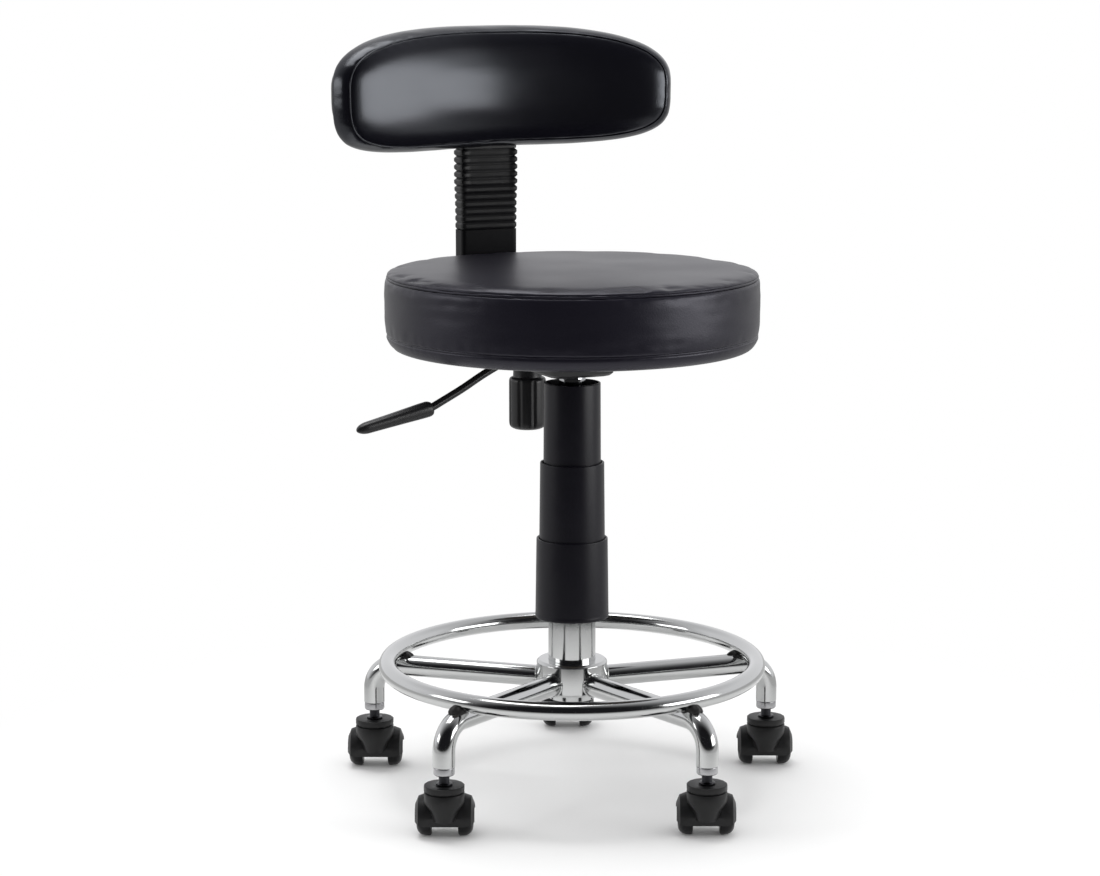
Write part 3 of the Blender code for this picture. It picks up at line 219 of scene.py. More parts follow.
mm = 0.001
castors = range(1, 6)
castor_turn = math.radians(64.5 - 90)
castor_trail = 16 * mm
axle_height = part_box("castor_axle_1")[0].z + 3 * mm
leg_circle = 224.6 * mm
leg_angles = np.radians(65.75 + 72 * np.arange(len(castors)))


def at_castor(grid, number):
    """A grid in a castor's own frame, x along the axle and y behind the stem, turned and moved to its place."""
    c, s = math.cos(castor_turn), math.sin(castor_turn)
    x, y, z = np.moveaxis(grid, -1, 0)
    angle = leg_angles[number - 1]
    stem_x, stem_y = leg_circle * math.cos(angle), leg_circle * math.sin(angle)
    return np.stack([x * c - y * s + stem_x, x * s + y * c + stem_y, z], -1)


nylon = handled_material("wheel_nylon", (0.0028, 0.0028, 0.0034), 0.36, grain=(500, 0.00004), shine=0.20)
tread = section_line(
    [(3.4, 13.6), (18.6, 13.6), (20, 15), (20, 20), (19, 24), (16, 27.3), (12.2, 28.6), (11.2, 28.4),
     (10.4, 26.7), (6.4, 26.7), (5.8, 28), (0.05, 28.2)], [1, 1, 1.6, 3, 3, 2.4, 0.7, 0.6, 0.6, 0.6])
for number in castors:
    for side_name, side in (("left", -1), ("right", 1)):
        grid = turned(tread * (1, side), 64, "x", (0, castor_trail, axle_height))
        wheel = f"wheel_{side_name}_{number}"
        piece(wheel, [skin(at_castor(grid, number))], wheel, nylon, ["castor_" + wheel])


# Castor hoods
# One moulding of black nylon over each pair of wheels, with a grooved collar that takes the stem.
# The mould's edges are broken, and its faces carry a fine spark texture.
def dressed(node, body, material, name, broken=0.35 * mm, sharp=32):
    """A copy of a CAD node's mesh, its seams merged, shaded smooth, and its sharp edges broken by a bevel."""
    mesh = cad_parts[node].data.copy()
    mesh.name = name
    mesh.materials.clear()
    mesh.materials.append(material)
    made = bpy.data.objects.new(name, mesh)
    bpy.context.scene.collection.objects.link(made)
    made.modifiers.new("merge", "WELD").merge_threshold = 0.00001
    bpy.context.view_layer.update()
    merged = bpy.data.meshes.new_from_object(made.evaluated_get(bpy.context.evaluated_depsgraph_get()))
    made.modifiers.clear()
    made.data = merged
    merged.shade_smooth()
    merged.set_sharp_from_angle(angle=math.radians(sharp))
    bevel = made.modifiers.new("broken_edges", "BEVEL")
    bevel.width = broken
    bevel.segments = 2
    bevel.limit_method = "ANGLE"
    bevel.angle_limit = math.radians(sharp)
    bevel.harden_normals = True
    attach(made, body)
    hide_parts(node)
    return made


hood_black = handled_material("hood_nylon", (0.0060, 0.0060, 0.0064), 0.42, cloudiness=0.5,
                              grain=(1400, 0.00006), shine=0.30)
plated = handled_material("zinc_plate", (0.30, 0.30, 0.31), 0.34, grain=(300, 0.00001), metallic=1.0)
for number in castors:
    dressed(f"castor_hood_{number}", f"castor_{number}", hood_black, f"hood_{number}")
    axle_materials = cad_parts[f"castor_axle_{number}"].data.materials
    axle_materials.clear()
    axle_materials.append(plated)

# Castor stems and their sockets
# A blackened pin with a retaining flange stands in each collar and turns in a steel sleeve pressed into the
# leg's foot. The sleeve's lip shows below the chromed tube.
leg_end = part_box("leg_1")[0].z
collar = (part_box("castor_hood_1")[1].z - leg_end) / mm
stem_line = section_line(
    [(0.05, collar - 14), (5.5, collar - 14), (5.5, collar + 0.3), (8.4, collar + 0.3), (8.4, collar + 1.9),
     (5.5, collar + 2.2), (5.4, -7), (4.6, -6), (4.6, 8), (0.05, 9)], 0.4, leg_end, steps=4)
lip_line = section_line([(5.9, 6), (5.9, -8), (10.2, -8), (10.8, -7), (10.8, -0.3), (9.6, 0.2), (9.6, 6)],
                        0.5, leg_end, steps=4)
stem_dark = handled_material("black_zinc", (0.045, 0.045, 0.050), 0.32, grain=(300, 0.00001), metallic=1.0)
socket_grey = handled_material("socket_steel", (0.42, 0.42, 0.43), 0.24, grain=(200, 0.00001), metallic=1.0)
for number in castors:
    piece(f"stem_{number}", [skin(at_castor(turned(stem_line, 40), number))], f"castor_{number}", stem_dark,
          [f"castor_stem_{number}"])
    piece(f"socket_lip_{number}", [skin(at_castor(turned(lip_line, 56), number), "loop")], "base", socket_grey,
          [f"castor_socket_{number}"])


# Legs
# Five chromed tubes of 23 mm, straight out from the hub and bent down to the castors over a 28 mm radius.
# The plating is bright, with a faint drawn grain and a slow unevenness that dulls it in patches.
def chrome_material(name, colour, roughness, haze):
    """Bright plating: a mirror whose roughness swings by the haze, slightly cloudy and with a shallow grain."""
    return handled_material(name, colour, roughness, cloudiness=0.08, spread=haze, grain=(140, 0.000012),
                            metallic=1.0)


def swept(path, side, section, closed=False):
    """A section of (sideways, outward) points carried along a path: path + a x side + b x (heading x side)."""
    path = np.asarray(path, float)
    heading = np.roll(path, -1, 0) - np.roll(path, 1, 0) if closed else np.gradient(path, axis=0)
    heading /= np.linalg.norm(heading, axis=1, keepdims=True)
    side = np.broadcast_to(np.asarray(side, float), path.shape)
    outward = np.cross(heading, side)
    section = np.asarray(section, float)
    if section.ndim == 2:
        section = np.broadcast_to(section, (len(path), *section.shape))
    return path[:, None] + section[..., :1] * side[:, None] + section[..., 1:] * outward[:, None]


def circle(radius, steps):
    """Points (radius cos a, radius sin a) at even steps of a."""
    angle = full_turn(steps)
    return np.stack([np.cos(angle), np.sin(angle)], -1) * radius


def at_leg(grid, number):
    """A grid turned about the column by a leg's angle a: (x cos a - y sin a, x sin a + y cos a, z)."""
    c, s = math.cos(leg_angles[number - 1]), math.sin(leg_angles[number - 1])
    x, y, z = np.moveaxis(grid, -1, 0)
    return np.stack([x * c - y * s, x * s + y * c, z], -1)


chrome = chrome_material("bright_chrome", (0.55, 0.556, 0.554), 0.12, 0.10)
leg_radius = 11.3 * mm
leg_bend = 28 * mm
leg_axis = leg_end + 15.2 * mm + leg_bend
leg_inner_end = 34 * mm
bend_angle = np.linspace(0, np.pi / 2, 22)
bend = np.stack([leg_circle - leg_bend + leg_bend * np.sin(bend_angle),
                 leg_axis - leg_bend + leg_bend * np.cos(bend_angle)], -1)
level_run = np.linspace(leg_inner_end, leg_circle - leg_bend, 12)[:-1]
leg_line = np.vstack([np.stack([level_run, np.full_like(level_run, leg_axis)], -1), bend,
                      [[leg_circle, leg_end + rise * mm] for rise in (6, 0.5, 0)]])
leg_path = np.insert(leg_line, 1, 0, axis=1)
leg_sizes = np.full(len(leg_path), leg_radius)
leg_sizes[-1] -= 0.5 * mm
leg_section = circle(1, 48)[None] * leg_sizes[:, None, None]
for number in castors:
    grid = at_leg(swept(leg_path, (0, 1, 0), leg_section), number)
    piece(f"leg_tube_{number}", [skin(grid)], "base", chrome, [f"leg_{number}"])

# Foot ring
# A chromed tube of 19 mm rolled into a circle and welded on top of the five legs.
# Its butt joint is ground flush; each weld to a leg is a small saddle under the ring, near black with painted
# shade.
ring_radius, ring_tube = 195.6 * mm, 9.4 * mm
ring_low, ring_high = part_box("foot_ring")
ring_height = (ring_low.z + ring_high.z) / 2
ring_line = np.insert(circle(ring_radius, 224), 2, ring_height, axis=1)
ring_skin = skin(swept(ring_line, (0, 0, 1), circle(ring_tube, 36), closed=True), "loop")
piece("ring_tube", [ring_skin], "base", chrome, ["foot_ring"])
# The saddles' near-black colour is painted shade where the ring sits on each leg.
weld_painted_shade = handled_material("weld_in_painted_shade", (0.010, 0.009, 0.009), 0.5, cloudiness=0.8, spread=0.3,
                             grain=(700, 0.0002))
u = full_turn(48)
v = np.linspace(0.02, np.pi - 0.02, 21)[:, None]
for number in castors:
    swell = 1 + 0.06 * np.sin(5 * u + number) + 0.04 * np.sin(9 * u + 2 * number)
    saddle = np.stack([17 * mm * np.sin(v) * np.cos(u) * swell, 9 * mm * np.sin(v) * np.sin(u) * swell,
                       7 * mm * np.cos(v) - 3 * mm * (np.sin(v) * np.sin(u)) ** 2], -1)
    saddle = saddle + np.array([ring_radius, 0, ring_height - 7.2 * mm])
    piece(f"weld_{number}", [skin(at_leg(saddle, number))], "base", weld_painted_shade)

# Hub
# A thick steel collar round the column's tube, chromed with the legs, with broken edges above and below.
# Each leg meets it in a rippled weld bead, plated over.
hub_radius, hub_bore, hub_chamfer = 37.5 * mm, 25.1 * mm, 2.5 * mm
hub_foot, hub_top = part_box("hub")[0].z + 4.5 * mm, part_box("hub")[1].z
hub_line = filleted(
    [(hub_bore, hub_foot), (hub_radius - hub_chamfer, hub_foot), (hub_radius, hub_foot + hub_chamfer),
     (hub_radius, hub_top - hub_chamfer), (hub_radius - hub_chamfer, hub_top), (hub_bore, hub_top)],
    0.7 * mm, steps=5)
piece("hub_collar", [skin(turned(hub_line, 128), "loop")], "base", chrome, ["hub"])
bead_radius = 1.1 * mm
u = full_turn(72)
v = full_turn(12)[:, None]
ripple = 1 + 0.10 * np.sin(18 * u)
bead_reach = leg_radius + 0.7 * mm + bead_radius * np.cos(v) * ripple
bead_out = np.sqrt(hub_radius**2 - (leg_radius * np.cos(u)) ** 2) + 0.6 * mm + bead_radius * np.sin(v) * ripple
bead = np.stack([bead_out, bead_reach * np.cos(u), leg_axis + bead_reach * np.sin(u)], -1)
for number in castors:
    piece(f"hub_bead_{number}", [skin(at_leg(bead, number), "loop")], "base", chrome)

# Gas lift
# The chromed outer tube stands in the hub. A plastic bush in its mouth guides the cylinder, which carries the
# seat. At the tube's foot the piston rod is held by a spring clip.
def stands(node):
    """How high a CAD node begins, in metres, and how tall it is, in mm."""
    low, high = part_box(node)
    return low.z, (high.z - low.z) / mm


low, tall = stands("outer_tube")
tube_line = section_line([(23.5, tall), (25, tall), (25, 0), (5.6, 0), (5.6, 3), (23.5, 3), (23.5, tall)],
                         0.5, low, 4)[:-1]
piece("column_tube", [skin(turned(tube_line, 112), "loop")], "base", chrome, ["outer_tube"])
low, tall = stands("guide_bush")
bush_line = section_line([(14.2, tall), (24.4, tall), (24.4, tall - 1.9), (23.2, tall - 2.1), (23.2, 0),
                          (14.2, 0), (14.2, tall)], 0.4, low, 4)[:-1]
piece("bush", [skin(turned(bush_line, 80), "loop")], "base", hood_black, ["guide_bush"])
piston_chrome = chrome_material("piston_chrome", (0.58, 0.585, 0.60), 0.08, 0.05)
low, tall = stands("gas_cylinder")
cylinder_line = section_line([(0.05, tall - 0.2), (12.9, tall), (13.3, tall - 12), (14, tall - 16), (14, 0),
                              (0.05, 0)], 0.8, low)
piece("lift_cylinder", [skin(turned(cylinder_line, 88))], "lift", piston_chrome,
      ["gas_cylinder"])
for node, body in (("piston_rod", "base"), ("retaining_clip", "base"), ("release_button", "release")):
    dressed(node, body, plated, node + "_plated", broken=0.2 * mm)

# Telescopic cover
# Three flared sleeves of black polypropylene over the lift, each hanging inside the next one's lip.
# The mouldings are satin, with a drawn-down lip at the foot and faint flow marks along their length.
cover_black = handled_material("cover_polypropylene", (0.0050, 0.0045, 0.0082), 0.36, cloudiness=0.4,
                               spread=0.12, grain=(220, 0.00005), shine=0.3)

sleeve_wall, lip_height = 2, 3
for name, body, radius, flare, rim_rise in (
        ("cover_top", "lift", 29.7, 0.8, 0), ("cover_middle", "cover_middle", 33.7, 1.3, 2.6),
        ("cover_bottom", "cover_bottom", 37.6, 1.4, 2.6)):
    low, tall = stands(name)
    rim, foot, bore = tall + rim_rise, radius + flare, radius - sleeve_wall
    sleeve_line = section_line(
        [(bore, rim), (radius, rim), (foot - 0.25, lip_height + 1.2), (foot, lip_height), (foot, 0),
         (foot - sleeve_wall, 0), (foot - sleeve_wall, 2 * lip_height), (bore, rim - 2 * lip_height),
         (bore, rim)], [0.9, 0.8, 0.8, 0.7, 0.5, 1, 1], low)[:-1]
    piece(name + "_sleeve", [skin(turned(sleeve_line, 112), "loop")], body, cover_black,
          [name])

# Seat mechanism
# A pressed steel pan, powder coated black, with a taper socket for the lift and a channel for the back's bar.
# Four plated bolts with washers hold its flange to the seat board.
coated = handled_material("powder_coat", (0.009, 0.009, 0.010), 0.42, cloudiness=0.3, spread=0.2,
                          grain=(2600, 0.00005))
dressed("mechanism_housing", "seat", coated, "pressed_pan", broken=0.7 * mm)
pan_low, pan_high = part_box("mechanism_housing")
flange_under = pan_high.z - 3 * mm
washer = section_line([(0.1, 0), (8, 0), (8, -1.4), (0.1, -1.4)], 0.3, flange_under, 3)
bolt_head = section_line([(0.1, -1.2), (5.8, -1.2), (5.8, -5), (5.0, -5.6), (0.1, -5.6)], 0.2, flange_under, 3)
bolts = [skin(turned(line, sides, centre=(x, y, 0)))
         for x in (pan_low.x + 9 * mm, pan_high.x - 9 * mm) for y in (pan_low.y + 10 * mm, pan_high.y - 12 * mm)
         for line, sides in ((washer, 40), (bolt_head, 6))]
piece("flange_bolts", bolts, "seat", plated, sharp=25)

# Lever
# A bent 8 mm rod, blackened, that tips on the button to release the lift.
# An oval moulded grip is pressed on its end.
lever_turn = math.radians(188.6)
lever_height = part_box("release_button")[1].z + 4.3 * mm
lever_side = (-math.sin(lever_turn), math.cos(lever_turn), 0)


def in_lever_plane(points):
    """Points (reach, drop) in the lever's upright plane: (reach cos a, reach sin a, height - drop)."""
    reach, drop = np.asarray(points, float).T
    return np.stack([reach * math.cos(lever_turn), reach * math.sin(lever_turn), lever_height - drop], -1)


rod_line = section_line([(0, 0), (66, 0), (79, 0.2), (92, 3.8), (112, 12.6), (136, 24.8), (173, 41),
                         (180, 43.4)], 9, steps=7)
rod_black = handled_material("blackened_rod", (0.006, 0.006, 0.007), 0.28, grain=(800, 0.00003))
rod_skin = skin(swept(in_lever_plane(rod_line), lever_side, circle(4 * mm, 32)))
piece("release_rod", [rod_skin], "lever", rod_black, ["lever_rod"])
dome_start, dome_size = 0.85, 0.90
along = np.concatenate([np.linspace(0, 0.04, 6), np.linspace(0.06, dome_start, 24),
                        dome_start + 0.15 * np.sin(np.linspace(0.1, 1, 14) * np.pi / 2)])
taper = np.interp(along, [0, 0.012, 0.04, 0.12, 0.5, dome_start], [0.78, 0.90, 0.98, 1, 0.94, dome_size])
dome = dome_size * np.sqrt(np.clip(1 - ((along - dome_start) / 0.1502) ** 2, 0, 1))
taper = np.where(along > dome_start, dome, taper)
angle = full_turn(40)
oval = np.stack([np.sign(np.cos(angle)) * np.abs(np.cos(angle)) ** 0.8,
                 np.sign(np.sin(angle)) * np.abs(np.sin(angle)) ** 0.8], -1)
half_sizes = np.stack([17 + (13 - 17) * along, 16 + (12.5 - 16) * along], -1) / 2 * mm * taper[:, None]
grip_line = np.stack([173 * mm + along * 86.24 * mm, 41 * mm + along * 15.19 * mm], -1)
grip_black = handled_material("grip_plastic", (0.007, 0.007, 0.008), 0.36, grain=(1800, 0.00005))
grip_skin = skin(swept(in_lever_plane(grip_line), lever_side, oval[None] * half_sizes[:, None]))
piece("moulded_grip", [grip_skin], "lever", grip_black, ["lever_grip"])

# Clamp knob
# A moulded hand wheel with eight rounded flutes; its stud clamps the backrest bar in the pan's channel.
knob_y = 112.5 * mm
knob_low = pan_low.z - 75.3 * mm
stud_top = (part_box("clamp_knob")[1].z - knob_low) / mm
neck_top, head_top = 75, 57
knob_line = section_line(
    [(0.1, 1.2), (9, 1.2), (10.5, 0), (15, 0.4), (19.2, 3), (20, 7), (20, head_top - 3), (18.6, head_top - 0.6),
     (15.7, head_top), (15.5, head_top + 5), (15.5, neck_top), (4, neck_top), (4, stud_top), (0.1, stud_top)],
    [0.6, 0.6, 2, 2.6, 2.6, 2.2, 1.4, 0.8, 1.4, 0.8, 0.5, 0.5], knob_low)
angle = full_turn(256)
flute = np.clip(np.cos(8 * angle + 0.5), 0, 1) ** 3
depth = np.interp((knob_line[:, 1] - knob_low) / mm, [0, 9, head_top - 7, head_top - 1], [0, 1.5, 1.5, 0])
depth = np.where(knob_line[:, 0] > 14 * mm, depth, 0) * mm
radius = knob_line[:, :1] - depth[:, None] * flute
level = np.repeat(knob_line[:, 1:2], len(angle), 1)
knob_grid = np.stack([radius * np.cos(angle), knob_y + radius * np.sin(angle), level], -1)
piece("fluted_knob", [skin(knob_grid)], "knob", grip_black, ["clamp_knob"], sharp=50)


# Seat board
# A plywood disc of 11 mm, stained nearly black, let into the underside of the cushion.
# Its face shows long grain through the stain, and its edge the thin plies.
def plywood_material():
    """Plywood: a noise stretched along x, and squeezed in z to the plies, picks between two dark stains."""
    material = handled_material("stained_plywood", (0.03, 0.024, 0.018), 0.6, grain=(900, 0.00008))
    tree = material.node_tree
    place = added(tree, "TexCoord", {}).outputs["Object"]
    stretch = added(tree, "Mapping", {"Vector": place, "Scale": (8, 120, 700)})
    streaks = added(tree, "TexNoise", {"Vector": stretch, "Scale": 1.0, "Detail": 6})
    tone = added(tree, "ValToRGB", {"Fac": streaks})
    dark, light = tone.color_ramp.elements
    dark.position, dark.color = 0.35, (0.016, 0.012, 0.009, 1)
    light.position, light.color = 0.68, (0.045, 0.034, 0.025, 1)
    plugged(tree.nodes["Group"].inputs, {"Colour": tone})
    return material


plywood = plywood_material()
board_low, board_high = (corner.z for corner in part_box("seat_board"))
low, tall = stands("seat_board")
board_line = section_line([(0.1, 0), (168, 0), (168, tall), (0.1, tall)], 1.5, low)
piece("plywood_disc", [skin(turned(board_line, 160))], "seat", plywood, ["seat_board"])


# Seat cushion
# Firm foam under black leatherette: a round top panel and a side band, sewn with a narrow welt at both edges.
# The cover is drawn tight round the board, so it puckers at the seams and wrinkles faintly on the band.
def leather_group():
    """Leatherette grain on Object coordinates: cells, shifted by 1.2 mm x a coarser noise, bump it into rounded
    pebbles, and a slow noise n gives roughness gloss + wear x (n - 0.5) and tone 1 + (n - 0.5) / 2."""
    tree, given, out = blank_group(
        "leatherette_grain",
        [("Pebble scale", "Float", 780.0), ("Depth", "Float", 0.00008), ("Gloss", "Float", 0.38),
         ("Wear", "Float", 0.10)],
        [("Roughness", "Float"), ("Normal", "Vector"), ("Tone", "Float")])
    place = added(tree, "TexCoord", {}).outputs["Object"]
    warp = added(tree, "TexNoise", {"Vector": place, "Scale": 240}).outputs["Color"]
    wander = added(tree, "VectorMath", {0: warp, 1: [0.0012] * 3, 2: place}, operation="MULTIPLY_ADD")
    cells = added(tree, "TexVoronoi", {"Vector": wander, "Scale": given["Pebble scale"]}, feature="SMOOTH_F1")
    bump = added(tree, "Bump", {"Distance": given["Depth"], "Height": cells}, invert=True)
    cloud = uneven(tree, place, 11, 4)
    gloss = added(tree, "Math", {0: cloud, 1: given["Wear"], 2: given["Gloss"]}, operation="MULTIPLY_ADD")
    tone = added(tree, "Math", {0: cloud, 1: 0.5, 2: 1.0}, operation="MULTIPLY_ADD")
    plugged(out, {"Normal": bump, "Roughness": gloss, "Tone": tone})
    return tree


leather_grain = leather_group()


def leather_material(name, colour, gloss, depth, shine, tint_of_shine):
    """Leatherette: a dark plastic film whose pebbled grain, gloss and tone come from the leatherette group."""
    material, tree, shader = blank_material(name)
    effect = added(tree, "Group", {"Gloss": gloss, "Depth": depth}, node_tree=leather_grain).outputs
    tint = added(tree, "VectorMath", {0: colour, "Scale": effect["Tone"]}, operation="SCALE")
    plugged(shader.inputs, {"Base Color": tint, "Roughness": effect["Roughness"], "Normal": effect["Normal"],
                            "Specular IOR Level": shine, "Specular Tint": (*tint_of_shine, 1)})
    return material


def waves(points, lengths, seed, count=22):
    """Plane waves in random directions, of about the wavelengths in mm along x, y and z, summed and scaled to
    lie mostly within 1."""
    random = np.random.default_rng(seed)
    direction = random.normal(size=(count, 3))
    direction /= np.linalg.norm(direction, axis=1, keepdims=True)
    spread = random.uniform(0.75, 1.35, (count, 1))
    phase = random.uniform(0, 2 * np.pi, count)
    swing = 2 * np.pi * direction * spread / (np.array(lengths) * mm)
    return np.sin(points @ swing.T + phase).sum(-1) / math.sqrt(2 * count)


def respaced(line, step=0.0, count=0):
    """A line of points laid out again evenly along its length, at a count of places or about a step apart."""
    line = np.asarray(line, float)
    run = np.concatenate([[0], np.cumsum(np.linalg.norm(np.diff(line, axis=0), axis=1))])
    places = np.linspace(0, run[-1], count or int(run[-1] / step) + 2)
    return np.stack([np.interp(places, run, column) for column in line.T], -1)


def raised(grid, amount):
    """A grid moved outwards by an amount at each point, along the cross product of its two directions."""
    down = np.gradient(grid, axis=0)
    across = np.roll(grid, -1, 1) - np.roll(grid, 1, 1)
    normal = np.cross(across, down)
    normal /= np.maximum(np.linalg.norm(normal, axis=-1, keepdims=True), 1e-12)
    middle = grid.reshape(-1, 3).mean(0)
    outward = np.sign(((grid - middle) * normal).sum(-1).mean())
    return grid + normal * (outward * amount)[..., None]


def stuffed(grid, held, reach, cell, extra, easing):
    """A cover blown out over its filling: a copy remeshed to one cell size is run as cloth under pressure, and
    the grid follows it. held gives how firmly each place is kept, 0 to 1, and extra the share of spare cloth.
    The moves are averaged with their neighbours easing times (1-2-1 both ways), and a move m is then cut to
    reach * tanh(m / reach)."""
    stage = bpy.context.scene
    cover, filling = (bpy.data.objects.new(name, mesh_of(name, [skin(grid)])) for name in ("cover", "filling"))
    for made in (cover, filling):
        stage.collection.objects.link(made)
    remesh = filling.modifiers.new("remesh", "REMESH")
    remesh.mode, remesh.voxel_size = "VOXEL", cell
    filling.modifiers.new("triangles", "TRIANGULATE")
    bpy.context.view_layer.update()
    filling.data = bpy.data.meshes.new_from_object(filling.evaluated_get(bpy.context.evaluated_depsgraph_get()))
    filling.modifiers.clear()
    places = np.empty(len(filling.data.vertices) * 3)
    filling.data.vertices.foreach_get("co", places)
    firmness = np.round(np.clip(held(places.reshape(-1, 3)), 0, 1), 2)
    kept = filling.vertex_groups.new(name="kept")
    for level in np.unique(firmness):
        kept.add(np.flatnonzero(firmness == level).tolist(), float(level), "REPLACE")
    cloth = filling.modifiers.new("cloth", "CLOTH")
    for name, value in {
            "quality": 5, "mass": 0.15, "tension_stiffness": 18, "compression_stiffness": 18,
            "shear_stiffness": 6, "bending_stiffness": 0.6, "use_pressure": True, "uniform_pressure_force": 4,
            "shrink_min": -extra, "vertex_group_mass": "kept", "pin_stiffness": 1.0}.items():
        setattr(cloth.settings, name, value)
    cloth.settings.effector_weights.gravity = 0
    cloth.collision_settings.use_collision = False
    follow = cover.modifiers.new("follow", "SURFACE_DEFORM")
    follow.target = filling
    stage.frame_set(1)
    with bpy.context.temp_override(object=cover, active_object=cover, selected_objects=[cover]):
        bpy.ops.object.surfacedeform_bind(modifier="follow")
    for frame_number in range(1, 21):
        stage.frame_set(frame_number)
    moved = np.empty(grid.size)
    cover.evaluated_get(bpy.context.evaluated_depsgraph_get()).data.vertices.foreach_get("co", moved)
    for made in (cover, filling):
        bpy.data.objects.remove(made)
    stage.frame_set(1)
    move = moved.reshape(grid.shape) - grid
    for _ in range(easing):
        move = move / 2 + (np.roll(move, 1, 1) + np.roll(move, -1, 1)) / 4
        move[1:-1] = move[1:-1] / 2 + (move[2:] + move[:-2]) / 4
    length = np.linalg.norm(move, axis=-1, keepdims=True)
    return grid + move * np.tanh(length / reach) * reach / np.maximum(length, 1e-9)


seat_leather = leather_material("seat_leatherette", (0.0060, 0.0052, 0.0105), 0.36, 0.00007, 0.44,
                                (0.90, 0.89, 1.0))
base_z = board_low - 2.4 * mm
lower_seam, upper_seam = base_z + 15 * mm, base_z + 74.2 * mm
seat_r = 193.5 * mm
pocket_radius = 168.3 * mm
seat_line = filleted(np.vstack([
    [(0.1 * mm, board_high + 0.3 * mm), (pocket_radius, board_high + 0.3 * mm), (pocket_radius, base_z),
     (184.5 * mm, base_z), (190.2 * mm, base_z + 4.4 * mm)],
    np.array([(0.2, -3.4), (-0.6, -0.9), (-2.4, 0), (-0.4, 1.2), (-0.1, 9)]) * mm + (seat_r, lower_seam),
    [(seat_r - 0.1 * mm, (lower_seam + upper_seam) / 2)],
    np.array([(-0.1, -8), (-0.3, -1.9), (-3.8, 0), (-0.2, 1.9), (-2.4, 4.2), (-9, 5.0), (-22, 6.1)]) * mm
    + (seat_r, upper_seam),
    np.array([(132, 6.6), (74, 6.8), (0.1, 6.9)]) * mm + (0, upper_seam)]),
    np.array([0.8, 1, 4, 4, 4, 0.8, 0.5, 1.2, 6, 20, 6, 2.0, 0.7, 1.8, 1.8, 3, 9, 30, 40]) * mm, steps=7)
seat_rows = np.vstack([respaced(seat_line[:14], 6 * mm), respaced(seat_line[14:], 1.15 * mm)[1:]])
inner = seat_rows[:, 0] < seat_r - 12 * mm
under = seat_rows[:, 1] < board_high + 1 * mm
seat_rows = seat_rows[~(inner & (np.arange(len(seat_rows)) % 3 > 0)) | under]


def seat_hold(points):
    """Firm at both seams and under the lower one, and as yielding as foam between them."""
    out = np.hypot(points[:, 0], points[:, 1])
    to_seam = np.minimum(np.hypot(out - seat_r, points[:, 2] - upper_seam),
                         np.hypot(out - seat_r, points[:, 2] - lower_seam))
    inside = (out < 170 * mm) & (points[:, 2] < base_z + 20 * mm)
    firm = np.where((points[:, 2] < lower_seam - 2 * mm) | inside, 1, 0)
    return np.maximum(firm, np.clip(1.3 - to_seam / (5 * mm), 0.02, 1))


seat_columns = 448
around = full_turn(seat_columns)
seat_grid = turned(seat_rows, seat_columns)
height = seat_rows[:, 1:2]
at_seams = np.minimum(np.hypot(seat_rows[:, :1] - seat_r, height - upper_seam),
                      np.hypot(seat_rows[:, :1] - seat_r, height - lower_seam))
open_cover = 1 - np.exp(-((at_seams / (7 * mm)) ** 2))
unrolled = np.stack(np.broadcast_arrays(seat_r * np.cos(around), seat_r * np.sin(around), height), -1)
band = (seat_rows[:, :1] > seat_r - 3 * mm) * (height > lower_seam) * (height < upper_seam)
ripples = waves(unrolled, (95, 95, 14), 3)
ripples = ripples * np.clip(waves(unrolled, (160, 160, 90), 4) + 0.35, 0, 1)
stitches = around * 86 + 1.3 * np.sin(around * 7 + 1) + 0.9 * np.sin(around * 17)
pucker = np.sin(stitches) * (0.6 + 0.4 * np.sin(around * 11 + 2))
swell = 0.3 * mm * waves(seat_grid, (110, 110, 80), 5) * open_cover
swell = swell + 0.42 * mm * ripples * band * open_cover
swell = swell + 0.22 * mm * pucker * np.exp(-at_seams / (4.5 * mm)) * (at_seams > 1.2 * mm)
swell = swell * (height > base_z + 2 * mm) * np.clip(seat_rows[:, :1] / (50 * mm), 0, 1) ** 2
seat_grid = stuffed(seat_grid, seat_hold, 1.7 * mm, 6 * mm, 0.012, 3)
seat_cover = piece("seat_cover", [skin(raised(seat_grid, swell))], "seat", seat_leather,
                   ["seat_cushion"], sharp=75)
around = full_turn(640)
ring = np.stack([np.cos(around), np.sin(around), 0 * around], -1)
for name, height, seed in (("welt_lower", lower_seam, 6), ("welt_upper", upper_seam, 7)):
    wander = waves(ring * seat_r, (24, 24, 24), seed)[:, None]
    line = ring * (seat_r - 1.9 * mm + 0.25 * mm * wander) + (0, 0, height) + wander * (0, 0, 0.3 * mm)
    piece(name, [skin(swept(line, (0, 0, 1), circle(1.5 * mm, 14), closed=True), "loop")], "seat", seat_leather)

# Backrest bar
# Flat steel of 45 by 7 mm bent into an L: it slides in the pan's channel and stands up behind the seat.
# A smooth moulded sleeve covers its bend. Above it, the ribbed bellows that takes up the height adjustment is
# built at one fixed length and rides on no body.
dressed("back_bar", "bar", coated, "flat_bar", broken=0.5 * mm)
section_count = 96


def rounded_box(half_x, half_y, corner):
    """The outline of a rounded rectangle as evenly spaced points, starting in the middle of one side."""
    turn = np.linspace(0, np.pi / 2, 9)
    quarter = np.stack([np.cos(turn), np.sin(turn)], -1) * corner + (half_x - corner, half_y - corner)
    corners = np.vstack([quarter, quarter[::-1] * (-1, 1), quarter * (-1, -1), quarter[::-1] * (1, -1),
                         quarter[:1]])
    return respaced(corners, count=section_count + 1)[:-1]


